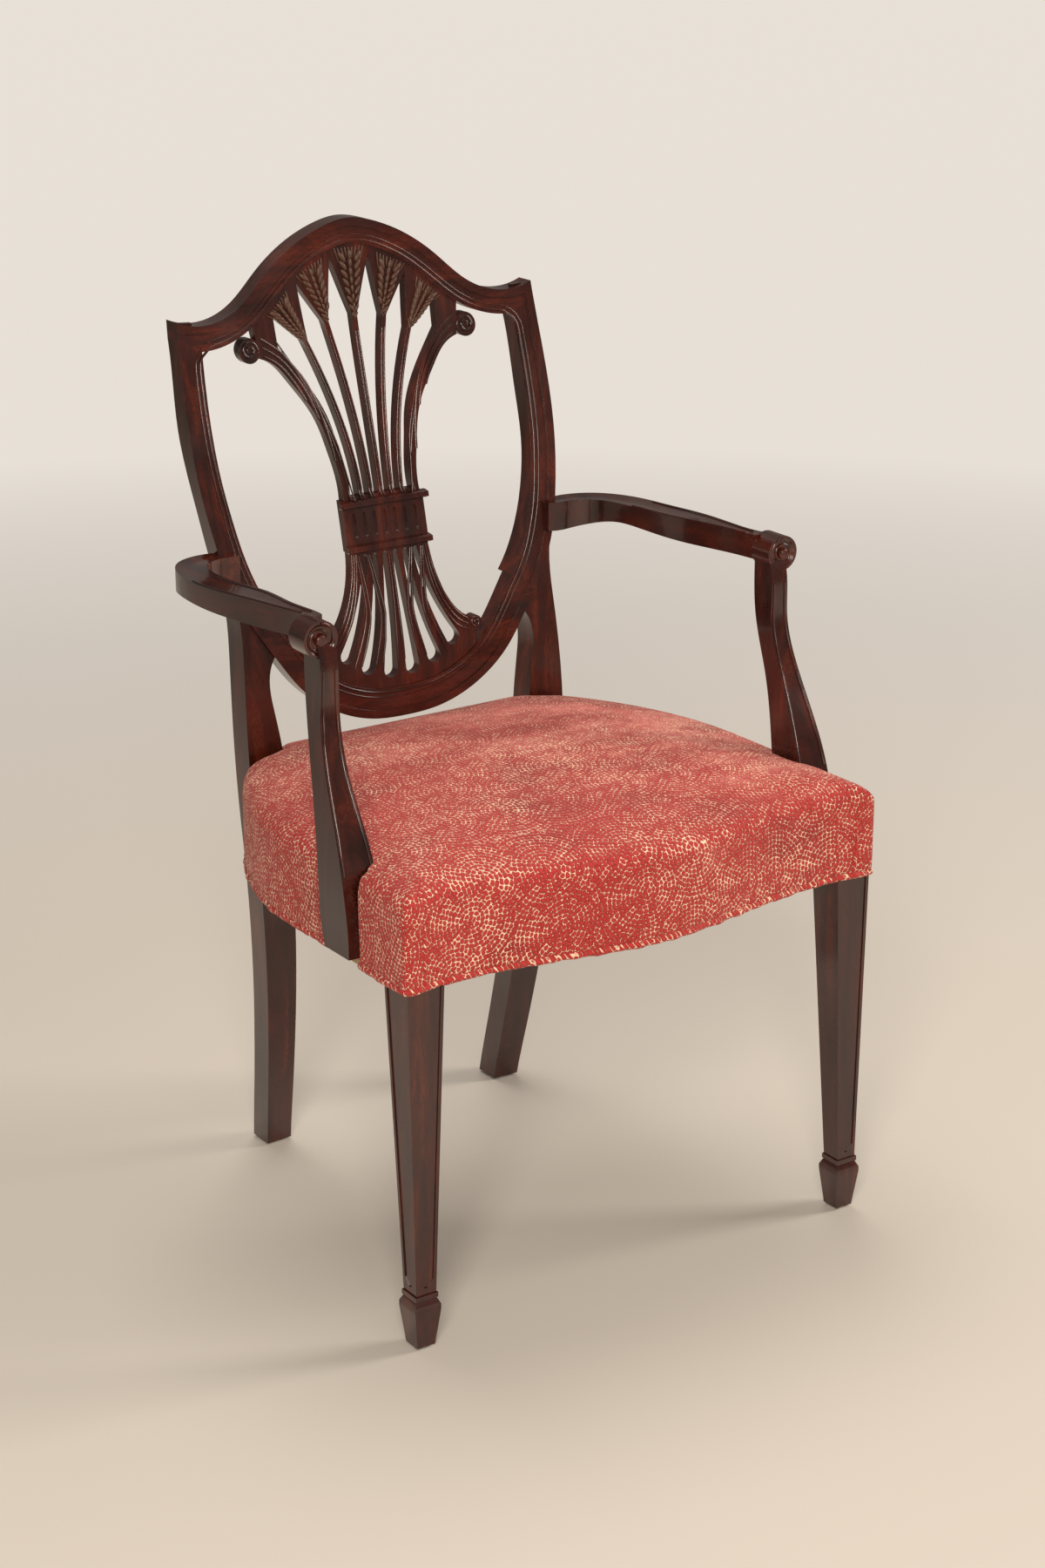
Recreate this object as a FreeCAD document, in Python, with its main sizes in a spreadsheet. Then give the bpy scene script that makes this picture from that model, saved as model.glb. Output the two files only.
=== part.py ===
import FreeCAD, Part
import Sketcher
import math
import os

# A carved armchair with a shield-shaped back, a wheat-sheaf splat, a serpentine
# stuffed-over seat, square tapered front legs on spade feet and raked rear legs.
# The chair faces -Y, +X is the sitter's left, and the floor is Z = 0.

os.makedirs("parts", exist_ok=True)
doc = FreeCAD.newDocument("shield_back_armchair")

# Driving dimensions in millimetres.
sizes = {
    # Back: side profile of its front face, plan bow and thicknesses.
    "back_height": 977,
    "knee_drop": 8,
    "knee_front": 163,
    "leg_kick": 46,
    "back_lean": 109,
    "bow_radius": 2270,
    "post_depth": 30,
    "frame_depth": 20,
    "splat_depth": 11,
    "splat_setback": 2,
    # Shield frame in front view.
    "shield_width": 435,
    "shield_lift": 29.5,
    "crest_rise": 82.5,
    "horn_height": 17,
    "frame_width_base": 31,
    "frame_width_side": 28,
    "crest_depth": 25.3,
    "bead_width": 8.5,
    "bead_rise": 2,
    "loose_width": 12,
    "loose_thickness": 6,
    "loose_length": 30,
    # Rear posts in front view: how far their outer edge lies inside the shield's
    # widest line, and how wide they are, at foot, knee, hip and waist.
    "foot_inset": 54.5,
    "foot_width": 30,
    "knee_inset": 27,
    "knee_width": 41.7,
    "hip_inset": 23,
    "hip_width": 44.5,
    "waist_inset": 27.3,
    "waist_width": 27.7,
    # Splat: its waist is a band with flutes between two beads.
    "waist_share": 0.413,
    "band_tall": 52,
    "band_half_width": 49,
    "band_bead": 4.2,
    "stalk_pitch": 12.3,
    "stalk_width": 5.5,
    "scroll_x": 130,
    "scroll_drop": 38,
    "scroll_radius": 12.5,
    "button_x": 94.4,
    "button_share": 0.363,
    "button_radius": 7.5,
    "flute_width": 4,
    "flute_length": 26,
    "flute_sink": 2.5,
    "tongue_width": 44,
    "tongue_depth": 5,
    "tongue_reach": 8,
    # Seat frame.
    "seat_width": 546,
    "side_taper": 2.5,
    "seat_front": 264,
    "front_bow": 23,
    "front_hollow": 6,
    "side_break": 59,
    "rail_top": 440,
    "rail_depth": 72,
    "rail_thickness": 24,
    "tenon_width": 8,
    "tenon_reach": 14,
    "tenon_margin": 12,
    "tenon_clearance": 0.15,
    "block_reach": 60,
    "block_drop": 10,
    # Front legs with spade feet.
    "glide_height": 2.5,
    "glide_radius": 8,
    "leg_top_square": 40,
    "leg_set_back": 1,
    "ankle_square": 22,
    "foot_splay": 3.8,
    "foot_forward": 9.5,
    "foot_base_square": 20,
    "foot_square": 29,
    "foot_bulge_height": 41,
    "foot_top": 46,
    "ankle_height": 53,
    "collar_square": 25,
    "collar_depth": 5,
    "panel_margin": 3.5,
    "panel_sink": 1.2,
    # Arms and their supports.
    "arm_height": 681,
    "arm_inset": 24,
    "lobe_drop": 12,
    "volute_radius": 18,
    "volute_length": 28,
    "volute_inset": 18.5,
    "volute_set_y": 117,
    "volute_drop": 14,
    "support_proud": 15,
    "support_lift": 11,
    # Upholstery.
    "webbing_width": 50,
    "webbing_thickness": 1.5,
    "cover_thickness": 4,
    "cover_drop": 3,
    "soft_clearance": 0.3,
    "wall_rise": 9,
    "crown_rise": 40,
    "dust_cover_thickness": 1.2,
}

sheet = doc.addObject("Spreadsheet::Sheet", "sizes")
for row, (alias, value) in enumerate(sizes.items(), start=1):
    sheet.set("A%d" % row, alias)
    sheet.set("B%d" % row, str(value))
    sheet.setAlias("B%d" % row, alias)
doc.recompute()


def size(alias):
    return float(sheet.get(alias))


def bind(feature, prop, *aliases):
    """Ties a property to one cell of the sheet, or to one cell less another."""
    feature.setExpression(prop, " - ".join("sizes." + alias for alias in aliases))


def flat(x, z):
    return FreeCAD.Vector(x, z, 0)


def spline(points):
    curve = Part.BSplineCurve()
    curve.interpolate([FreeCAD.Vector(*point) if isinstance(point, tuple) else point for point in points])
    return curve


def segment(first, second):
    return Part.LineSegment(first, second)


def lofted(sections):
    """Smooth solid of cubic surfaces through closed sections."""
    return Part.makeLoft(sections, True, False, False, 3)


def polygon(points):
    return [segment(flat(*first), flat(*second)) for first, second in zip(points, points[1:] + points[:1])]


def smooth_value(pairs, at):
    """Value at one place of a smooth line through (place, value) pairs."""
    places = [pair[0] for pair in pairs]
    values = [pair[1] for pair in pairs]
    last = len(pairs) - 2
    index = 0
    while index < last and at > places[index + 1]:
        index += 1
    span = places[index + 1] - places[index]

    def slope(i):
        low = max(i - 1, 0)
        high = min(i + 1, len(pairs) - 1)
        return (values[high] - values[low]) / (places[high] - places[low])

    part = (at - places[index]) / span
    square = part * part
    cube = square * part
    rise = (2 * cube - 3 * square + 1) * values[index] + (3 * square - 2 * cube) * values[index + 1]
    turn = (cube - 2 * square + part) * slope(index) + (cube - square) * slope(index + 1)
    return rise + turn * span


# Front face of the back. The side profile kicks back to the floor and leans back
# to the crest; in plan it is bowed round the sitter.
back_height = size("back_height")
rail_top = size("rail_top")
rail_base = rail_top - size("rail_depth")
knee_height = rail_base - size("knee_drop")
shield_half = size("shield_width") / 2
shield_base = rail_top + size("shield_lift")
corner_height = back_height - size("crest_rise")
shield_height = corner_height - shield_base
leg_shape = [(0, 1), (0.2, 0.68), (0.36, 0.44), (0.56, 0.2), (0.78, 0.04), (1, 0)]
lean_shape = [(0, 0), (0.16, 0.05), (0.33, 0.157), (0.46, 0.305), (0.58, 0.47), (0.69, 0.64),
              (0.82, 0.835), (0.93, 0.945), (1, 1), (1.05, 1.03)]


def back_front(x, z):
    if z < knee_height:
        offset = size("leg_kick") * smooth_value(leg_shape, max(z, 0) / knee_height)
    else:
        lean = smooth_value(lean_shape, (z - knee_height) / (back_height - knee_height))
        offset = size("back_lean") * lean
    radius = size("bow_radius")
    bow = radius - math.sqrt(radius * radius - x * x)
    return size("knee_front") + offset - bow


def post_thickness(z):
    """The post is full depth to the waist and thins to the frame above it."""
    start = shield_base + 0.28 * shield_height
    end = shield_base + 0.5 * shield_height
    part = min(max((z - start) / (end - start), 0), 1)
    blend = part * part * (3 - 2 * part)
    return size("post_depth") + (size("frame_depth") - size("post_depth")) * blend


def curved_plank(label, proud, thickness, low, high, count):
    """Plank sawn to the back's side profile and hollowed to its bow."""
    half = 1.12 * shield_half
    sections = []
    for step in range(count):
        z = low + (high - low) * step / (count - 1)
        front = []
        rear = []
        for x in (-half, 0, half):
            y = back_front(x, z) - proud
            front.append(FreeCAD.Vector(x, y, z))
            rear.append(FreeCAD.Vector(x, y + thickness(z), z))
        edges = [
            Part.Arc(front[0], front[1], front[2]).toShape(),
            segment(front[2], rear[2]).toShape(),
            Part.Arc(rear[2], rear[1], rear[0]).toShape(),
            segment(rear[0], front[0]).toShape(),
        ]
        sections.append(Part.Wire(edges))
    plank = doc.addObject("Part::Feature", label)
    plank.Shape = lofted(sections)
    return plank


def sawn_outline(label, loops):
    """Front-view outline sawn straight through, for a piece of the back."""
    body = doc.addObject("PartDesign::Body", label)
    plane = [face for face in body.Origin.OriginFeatures if face.Role == "XZ_Plane"][0]
    sketch = body.newObject("Sketcher::SketchObject", label + "_sketch")
    sketch.AttachmentSupport = [(plane, "")]
    sketch.MapMode = "FlatFace"
    depth = size("knee_front") + size("back_lean") + size("leg_kick") + 2 * size("post_depth")
    sketch.AttachmentOffset = FreeCAD.Placement(FreeCAD.Vector(0, 0, -depth), FreeCAD.Rotation())
    for loop in loops:
        sketch.addGeometry(loop, False)
    pad = body.newObject("PartDesign::Pad", label + "_pad")
    pad.Profile = sketch
    pad.Length = depth
    body.Tip = pad
    return body


def combine(kind, label, base, tool):
    result = doc.addObject(kind, label)
    result.Base = base
    result.Tool = tool
    return result


def fuse(label, pieces):
    result = doc.addObject("Part::MultiFuse", label)
    result.Shapes = pieces
    return result


def solid(label, shape):
    result = doc.addObject("Part::Feature", label)
    result.Shape = shape
    return result


# Shield outlines in front view, as (share of half width, share of height) pairs.
shield_shape = [(0, 0), (0.175, 0.006), (0.418, 0.052), (0.593, 0.126), (0.706, 0.206), (0.80, 0.279),
                (0.882, 0.359), (0.953, 0.493), (0.989, 0.62), (1, 0.747), (0.992, 0.874), (0.9766, 1)]
crest_shape = [(0, 1), (0.137, 0.937), (0.292, 0.773), (0.48, 0.44), (0.64, 0.091), (0.753, -0.042),
               (0.866, -0.079), (1, 0)]
corner_x = shield_half * shield_shape[-1][0]


def mirrored(points):
    return [(-x, z) for x, z in reversed(points[1:])] + points


side_points = [(shield_half * x, shield_base + shield_height * z) for x, z in shield_shape]
crest_points = [(corner_x * x, corner_height + (back_height - corner_height) * z) for x, z in crest_shape]
shield_edge = spline([flat(x, z) for x, z in mirrored(side_points)])
crest_edge = spline([flat(x, z) for x, z in mirrored(crest_points)])


def parameter_at_height(height):
    """Place on the right side of the shield's outer edge at one height."""
    low = shield_edge.parameter(flat(0, shield_base))
    high = shield_edge.LastParameter
    for _ in range(40):
        middle = (low + high) / 2
        if shield_edge.value(middle).y < height:
            low = middle
        else:
            high = middle
    return (low + high) / 2


def inward(curve, parameter, distance, turn):
    tangent = curve.tangent(parameter)[0]
    normal = FreeCAD.Vector(-tangent.y, tangent.x, 0)
    return curve.value(parameter) + normal * distance * turn


def frame_width(parameter):
    height = (shield_edge.value(parameter).y - shield_base) / shield_height
    blend = min(max(height / 0.6, 0), 1)
    return size("frame_width_base") + (size("frame_width_side") - size("frame_width_base")) * blend


def side_inward(first, last, width, count):
    """Points inside the shield's outer edge by a width that may vary."""
    steps = [first + (last - first) * step / (count - 1) for step in range(count)]
    return [inward(shield_edge, step, width(step), 1) for step in steps]


def crest_inward(first, last, width, count):
    steps = [first + (last - first) * step / (count - 1) for step in range(count)]
    return [inward(crest_edge, step, width, -1) for step in steps]


def crossing(first_line, second_line):
    """First point where two chains of points cross."""
    for a, b in zip(first_line, first_line[1:]):
        for c, d in zip(second_line, second_line[1:]):
            across = (b.x - a.x) * (d.y - c.y) - (b.y - a.y) * (d.x - c.x)
            if abs(across) < 1e-9:
                continue
            along = ((c.x - a.x) * (d.y - c.y) - (c.y - a.y) * (d.x - c.x)) / across
            other = ((c.x - a.x) * (b.y - a.y) - (c.y - a.y) * (b.x - a.x)) / across
            if 0 <= along <= 1 and 0 <= other <= 1:
                return a + (b - a) * along
    raise ValueError("outlines do not cross")


crest_middle = crest_edge.parameter(flat(0, back_height))
crest_end = crest_edge.LastParameter
side_end = shield_edge.LastParameter
side_start = parameter_at_height(shield_base + 0.5 * shield_height)
bead_width = size("bead_width")


def even_width(width):
    return lambda parameter: width


inner_side_line = side_inward(side_start, side_end, frame_width, 60)
inner_crest_line = crest_inward(crest_middle, crest_end, size("crest_depth"), 120)
inner_corner = crossing(inner_side_line, inner_crest_line)
bead_side_line = side_inward(side_start, side_end, even_width(bead_width), 60)
bead_crest_line = crest_inward(crest_middle, crest_end, bead_width, 120)
bead_corner = crossing(bead_side_line, bead_crest_line)

# Joints of the shield: stiles meet the lower rail across the frame low on the
# side, and the crest sits on the stiles just below its corners.
lower_joint = parameter_at_height(shield_base + 0.26 * shield_height)
upper_joint = parameter_at_height(corner_height - size("horn_height"))


def trimmed(points, corner, keep_low):
    """Keeps points up to a corner and ends exactly on it."""
    kept = [point for point in points if keep_low(point)]
    return kept + [corner]


def mirror_point(point):
    return flat(-point.x, point.y)


def edge_part(first, last):
    curve = shield_edge.copy()
    curve.segment(first, last)
    return curve


def mirrored_loop(loop):
    """The same outline on the other side of the chair."""
    result = []
    for piece in loop:
        if isinstance(piece, Part.LineSegment):
            result.append(segment(mirror_point(piece.StartPoint), mirror_point(piece.EndPoint)))
        elif isinstance(piece, Part.BSplineCurve):
            copy = piece.copy()
            copy.mirror(FreeCAD.Vector(0, 0, 0), FreeCAD.Vector(0, 1, 0))
            result.append(copy)
    return result


lower_inner = inward(shield_edge, lower_joint, frame_width(lower_joint), 1)
lower_outer = shield_edge.value(lower_joint)
lower_bead = inward(shield_edge, lower_joint, bead_width, 1)
upper_outer = shield_edge.value(upper_joint)
upper_bead = inward(shield_edge, upper_joint, bead_width, 1)
stile_inner = trimmed(side_inward(lower_joint, side_end, frame_width, 9), inner_corner,
                      lambda point: point.y < inner_corner.y - 6)
stile_bead = side_inward(lower_joint, upper_joint, even_width(bead_width), 8)
shield_middle = shield_edge.parameter(flat(0, shield_base))
glide_height = size("glide_height")


def post_edges(level):
    """Inner and outer edge of the rear post at its foot, knee, hip or waist."""
    outer = shield_half - size(level + "_inset")
    return outer - size(level + "_width"), outer


foot_inner_x, foot_outer_x = post_edges("foot")
knee_inner_x, knee_outer_x = post_edges("knee")
hip_inner_x, hip_outer_x = post_edges("hip")
waist_inner_x, waist_outer_x = post_edges("waist")


def post_loop():
    """One plank: rear leg, post behind the shield, and the shield's side."""
    merge = parameter_at_height(shield_base + 0.37 * shield_height)
    meet = parameter_at_height(shield_base + 0.206 * shield_height)
    outer_merge = shield_edge.value(merge)
    inner_meet = shield_edge.value(meet)
    hip = shield_base - 0.45 * (shield_base - knee_height)
    waist = inner_meet.y - 30
    foot_inner = flat(foot_inner_x, glide_height)
    foot_outer = flat(foot_outer_x, glide_height)
    knee_inner = flat(knee_inner_x, knee_height)
    knee_outer = flat(knee_outer_x, knee_height)
    outer = [
        knee_outer,
        flat(hip_outer_x - 0.5, hip),
        flat(hip_outer_x, shield_base + 10),
        flat(waist_outer_x + 1, inner_meet.y),
        flat(waist_outer_x, outer_merge.y - 27),
        outer_merge,
    ]
    inner = [
        inner_meet,
        flat(waist_inner_x - 2.5, inner_meet.y - 12),
        flat(waist_inner_x, waist),
        flat(waist_inner_x - 2.5, waist - 22),
        flat(hip_inner_x + 5, shield_base + 6),
        flat(hip_inner_x, hip + 10),
        knee_inner,
    ]
    return [
        segment(foot_inner, foot_outer),
        segment(foot_outer, knee_outer),
        spline(outer),
        edge_part(merge, upper_joint),
        segment(upper_outer, inner_corner),
        spline(list(reversed(stile_inner))),
        segment(lower_inner, lower_outer),
        edge_part(meet, lower_joint),
        spline(inner),
        segment(knee_inner, foot_inner),
    ]


def stile_bead_loop():
    return [
        edge_part(lower_joint, upper_joint),
        segment(upper_outer, upper_bead),
        spline(list(reversed(stile_bead))),
        segment(lower_bead, lower_outer),
    ]


def across(points):
    return [mirror_point(point) for point in reversed(points)] + points[1:]


rail_inner = across(side_inward(shield_middle, lower_joint, frame_width, 6))
crest_lower = across(trimmed(crest_inward(crest_middle, crest_end, size("crest_depth"), 12), inner_corner,
                             lambda point: point.x < inner_corner.x - 6))


def lower_rail_loops():
    """Lower rail of the shield with its outer bead."""
    bead = across(side_inward(shield_middle, lower_joint, even_width(bead_width), 6))
    outer = edge_part(shield_edge.parameter(mirror_point(lower_outer)), lower_joint)
    rail = [
        outer,
        segment(lower_outer, lower_inner),
        spline(rail_inner),
        segment(mirror_point(lower_inner), mirror_point(lower_outer)),
    ]
    strip = [
        outer.copy(),
        segment(lower_outer, lower_bead),
        spline(bead),
        segment(mirror_point(lower_bead), mirror_point(lower_outer)),
    ]
    return rail, strip


def crest_loops():
    """Crest rail with its two corner horns, and its outer bead."""
    horn = edge_part(upper_joint, side_end)
    left_horn = mirrored_loop([horn])[0]
    bead = trimmed(crest_inward(crest_middle, crest_end, bead_width, 12), bead_corner,
                   lambda point: point.x < bead_corner.x - 6)
    rail = [
        crest_edge.copy(),
        horn,
        segment(upper_outer, inner_corner),
        spline(crest_lower),
        segment(mirror_point(inner_corner), mirror_point(upper_outer)),
        left_horn,
    ]
    strip = [
        crest_edge.copy(),
        horn.copy(),
        segment(upper_outer, upper_bead),
        segment(upper_bead, bead_corner),
        spline(across(bead)),
        segment(mirror_point(bead_corner), mirror_point(upper_bead)),
        segment(mirror_point(upper_bead), mirror_point(upper_outer)),
        left_horn.copy(),
    ]
    return rail, strip


# Splat in front view. Stalks fan out above the band and ribs flare below it.
band_base = shield_base + size("waist_share") * shield_height
band_top = band_base + size("band_tall")
band_half = size("band_half_width")
pitch = size("stalk_pitch")
stalk_half = size("stalk_width") / 2
fan_height = corner_height - 32 - band_top
fan_spread = 1.6 * pitch
inner_base = shield_base + size("frame_width_base")
rib_height = band_base - inner_base
scroll_x = size("scroll_x")
scroll_z = corner_height - size("scroll_drop")
button_x = size("button_x")
button_z = inner_base + size("button_share") * rib_height


def stalk_x(order, z):
    """Centre line of one stalk: it leans out faster towards the crest."""
    part = max(z - band_top, 0) / fan_height
    return order * (pitch + fan_spread * part ** 1.8)


def under_crest(x):
    """Height of the crest's lower edge at one place."""
    for inner, outer in zip(inner_crest_line, inner_crest_line[1:]):
        if inner.x <= x <= outer.x:
            return inner.y + (outer.y - inner.y) * (x - inner.x) / (outer.x - inner.x)
    return inner_corner.y


def stalk_edge(order, turn, junction):
    """Edge of a stalk from the band to the foot of its wheat ear."""
    points = []
    for share in (0.0, 0.24, 0.5, 0.76, junction):
        z = band_top + 3 + (fan_height - 3) * share
        points.append(flat(stalk_x(order, z) + turn * stalk_half, z))
    return points


def window_loop(order):
    """Opening between two stalks, closed to a point between their wheat ears."""
    junctions = [1.1, 1.08, 0.98]
    top_x = pitch * [1.89, 5.3, 7.9][order]
    top = flat(top_x, under_crest(top_x) - [8, 11, 14][order])
    left = stalk_edge(order, 1, junctions[order])
    if order < 2:
        right = stalk_edge(order + 1, -1, junctions[order + 1])
    else:
        right = outer_rib_edges()[0]
    return [
        spline(left),
        segment(left[-1], top),
        segment(top, right[-1]),
        spline(list(reversed(right))),
        segment(right[0], left[0]),
    ]


def outer_rib_edges():
    """Inner and outer edges of the scrolled outer rib, from the band upwards."""
    rise = scroll_z - band_top
    reach = scroll_x - band_half
    centre = [(0.018, -7.3, 4), (0.23, -4.8, 4.2), (0.34, -1.1, 4.4), (0.45, 0.032, 4.8), (0.61, 0.155, 5.6),
              (0.765, 0.35, 6.6)]
    points = []
    for share, place, half in centre:
        x = band_half + (place if abs(place) > 1 else place * reach)
        points.append((x, band_top + share * rise, half))
    inner = [flat(x - half, z + 0.35 * half) for x, z, half in points]
    outer = [flat(x + half, z - 0.35 * half) for x, z, half in points]
    inner = [flat(inner[0].x, band_top + 3)] + inner[1:]
    outer = [flat(band_half - 3, band_top)] + outer[1:]
    inner.append(flat(scroll_x - 34, scroll_z - 0.5))
    outer.append(flat(scroll_x - 29.5, scroll_z - 19))
    outer.append(flat(scroll_x - 12, scroll_z - 9.5))
    return inner, outer


def slot_loop(order):
    """Round-ended opening between two ribs below the band."""
    top_x = pitch * (order + 0.5)
    top_z = band_base - 6
    ends = [(13.4, 0.1), (40.5, 0.152), (65.0, 0.256)]
    middles = [(8.8, 0.55), (25.4, 0.55), (44.6, 0.58)]
    end_radius = 8.2
    top_half = 2.5
    end_x, end_share = ends[order]
    end_z = inner_base + end_share * rib_height + 4.5
    middle_x, middle_share = middles[order]
    middle_z = inner_base + middle_share * rib_height
    lean = math.atan2(end_x - middle_x, middle_z - end_z)
    side = flat(math.cos(lean) * end_radius, math.sin(lean) * end_radius)
    down = flat(math.sin(lean) * end_radius, -math.cos(lean) * end_radius)
    centre = flat(end_x, end_z)
    left = [flat(top_x - top_half, top_z), flat(middle_x - 5.6, middle_z), centre - side]
    right = [flat(top_x + top_half, top_z), flat(middle_x + 5.6, middle_z), centre + side]
    return [
        spline(left),
        Part.Arc(centre - side, centre + down, centre + side),
        spline(list(reversed(right))),
        Part.Arc(right[0], flat(top_x, top_z + top_half), left[0]),
    ]


def mirror_arcs(loop):
    """The same window on the other side, with arcs as well as splines."""
    result = []
    for piece in loop:
        if isinstance(piece, Part.Arc) or piece.TypeId == "Part::GeomArcOfCircle":
            copy = piece.copy()
            copy.mirror(FreeCAD.Vector(0, 0, 0), FreeCAD.Vector(0, 1, 0))
            result.append(copy)
        else:
            result.extend(mirrored_loop([piece]))
    return result


def fan_loop():
    """Outer outline of the splat, run past the frame so that the frame trims it."""
    outer = outer_rib_edges()[1]
    past = flat(scroll_x - 5, corner_height)
    crown = flat(0, back_height)
    lower = [
        flat(band_half - 1.5, band_base),
        flat(band_half + 2.2, inner_base + 0.8 * rib_height),
        flat(band_half + 12.7, inner_base + 0.605 * rib_height),
        flat(band_half + 28, inner_base + 0.46 * rib_height),
        flat(button_x - 4, button_z + 6),
    ]
    under = flat(button_x + 6, inner_base - 20)
    right = [
        segment(flat(band_half, band_base), flat(band_half, band_top)),
        segment(flat(band_half, band_top), outer[0]),
        spline(outer),
        segment(outer[-1], past),
        segment(past, crown),
        segment(flat(band_half, band_base), lower[0]),
        spline(lower),
        segment(lower[-1], under),
        segment(under, flat(0, inner_base - 20)),
    ]
    return right + mirrored_loop(right)


# The curved planks that the pieces of the back are sawn from.
plank_low = -5
plank_high = back_height + 25
post_plank = curved_plank("post_plank", 0, post_thickness, plank_low, plank_high, 17)
frame_plank = curved_plank("frame_plank", 0, lambda z: size("frame_depth"), shield_base - 30, plank_high, 10)
bead_plank = curved_plank("bead_plank", size("bead_rise"), lambda z: size("frame_depth"),
                          shield_base - 30, plank_high, 10)
splat_plank = curved_plank("splat_plank", -size("splat_setback"), lambda z: size("splat_depth"),
                           shield_base - 30, plank_high, 10)
doc.recompute()


def sawn_piece(label, outline, plank):
    return combine("Part::Common", label, outline, plank)


def back_post(side, loop, bead_loop):
    blank = sawn_piece(side + "_post_blank", sawn_outline(side + "_post_outline", [loop]), post_plank)
    bead = sawn_piece(side + "_post_bead", sawn_outline(side + "_bead_outline", [bead_loop]), bead_plank)
    return fuse(side + "_post_moulded", [blank, bead])


right_post = back_post("left", post_loop(), stile_bead_loop())
left_post = back_post("right", mirrored_loop(post_loop()), mirrored_loop(stile_bead_loop()))

rail_outline, rail_strip = lower_rail_loops()
lower_rail = fuse("shield_rail_moulded", [
    sawn_piece("shield_rail_blank", sawn_outline("shield_rail_outline", [rail_outline]), frame_plank),
    sawn_piece("shield_rail_bead", sawn_outline("shield_rail_bead_outline", [rail_strip]), bead_plank),
])
crest_outline, crest_strip = crest_loops()
crest = fuse("crest_moulded", [
    sawn_piece("crest_blank", sawn_outline("crest_outline", [crest_outline]), frame_plank),
    sawn_piece("crest_bead", sawn_outline("crest_bead_outline", [crest_strip]), bead_plank),
])


def flute_loop(order):
    """Flute in the band, its ends eased at the corners."""
    half = size("flute_width") / 2
    eased = 0.45 * half
    reach = size("flute_length") / 2
    x = order * pitch
    z = (band_base + band_top) / 2
    quarter = [(half, reach - 1.4 * half), (eased, reach)]
    right = [(out, -up) for out, up in reversed(quarter)] + quarter
    left = [(-out, -up) for out, up in right]
    return polygon([(x + out, z + up) for out, up in right + left])


def disc_loop(x, z, radius):
    return [Part.Circle(flat(x, z), FreeCAD.Vector(0, 0, 1), radius)]


def opening_loop():
    """Inside of the shield between its crest and its lower rail, which trims the splat."""
    return [
        spline(rail_inner),
        segment(lower_inner, inner_corner),
        spline(crest_lower),
        segment(mirror_point(inner_corner), mirror_point(lower_inner)),
    ]


def bead_across(z, half_width):
    """Rounded bead across the band, following the bow."""
    reach = size("band_bead")
    rings = []
    for share in (-1, -0.6, 0.6, 1):
        level = z + share * reach
        proud = reach * (1 - share * share) * 1.3
        line = []
        for turn in (-1, 0, 1):
            across_x = turn * (half_width - 0.5 * reach * share * share)
            line.append(FreeCAD.Vector(across_x, back_front(across_x, level) - proud, level))
        rear = [point + FreeCAD.Vector(0, proud + size("splat_setback") + 1, 0) for point in line]
        rings.append(Part.Wire([
            Part.Arc(line[0], line[1], line[2]).toShape(),
            segment(line[2], rear[2]).toShape(),
            Part.Arc(rear[2], rear[1], rear[0]).toShape(),
            segment(rear[0], line[0]).toShape(),
        ]))
    return Part.makeLoft(rings, True, True)


pierced = []
for order in range(3):
    for loop in (window_loop(order), slot_loop(order)):
        pierced.append(loop)
        pierced.append(mirror_arcs(loop))
fan = sawn_outline("splat_outline", [fan_loop()] + pierced)
scrolls = []
for turn in (-1, 1):
    scrolls.append(sawn_outline("scroll_outline", [
        disc_loop(turn * scroll_x, scroll_z, size("scroll_radius")),
        disc_loop(turn * button_x, button_z, size("button_radius")),
    ]))
opening = sawn_outline("shield_opening", [opening_loop()])
sheaf = combine("Part::Common", "splat_sheaf", combine("Part::Common", "splat_trimmed",
                fuse("splat_whole", [fan] + scrolls), opening), splat_plank)
flute_plank = curved_plank("flute_plank", 5 - size("splat_setback"), lambda z: 5 + size("flute_sink"),
                           band_base - 10, band_top + 10, 4)
flutes = combine("Part::Common", "flutes",
                 sawn_outline("flute_outline", [flute_loop(order) for order in range(-3, 4)]), flute_plank)
beads = [solid("upper_band_bead", bead_across(band_top - 3.5, band_half + 5)),
         solid("lower_band_bead", bead_across(band_base + 3.5, band_half + 3))]
fluted = combine("Part::Cut", "splat_fluted", sheaf, flutes)


# Joinery of the back: tongues on the splat sit in grooves of the crest and the
# lower rail, and a loose tenon crosses each of the shield's four joints.
def box(low, high):
    """Box between two corners, as a primitive."""
    item = doc.addObject("Part::Box", "box")
    item.Length = high[0] - low[0]
    item.Width = high[1] - low[1]
    item.Height = high[2] - low[2]
    item.Placement = FreeCAD.Placement(FreeCAD.Vector(*low), FreeCAD.Rotation())
    return item


clearance = size("tenon_clearance")


def splat_tongue(seat_z, turn, gap):
    """Tongue from inside the splat into the frame, or with a gap its groove."""
    half = size("tongue_width") / 2
    reach = size("tongue_reach")
    thick = size("tongue_depth")
    middle = back_front(0, seat_z + turn * reach / 2) + size("splat_setback") + size("splat_depth") / 2
    low_z, high_z = sorted((seat_z - turn * 3, seat_z + turn * (reach + gap)))
    return box((-half - gap, middle - thick / 2 - gap, low_z), (half + gap, middle + thick / 2 + gap, high_z))


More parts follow.
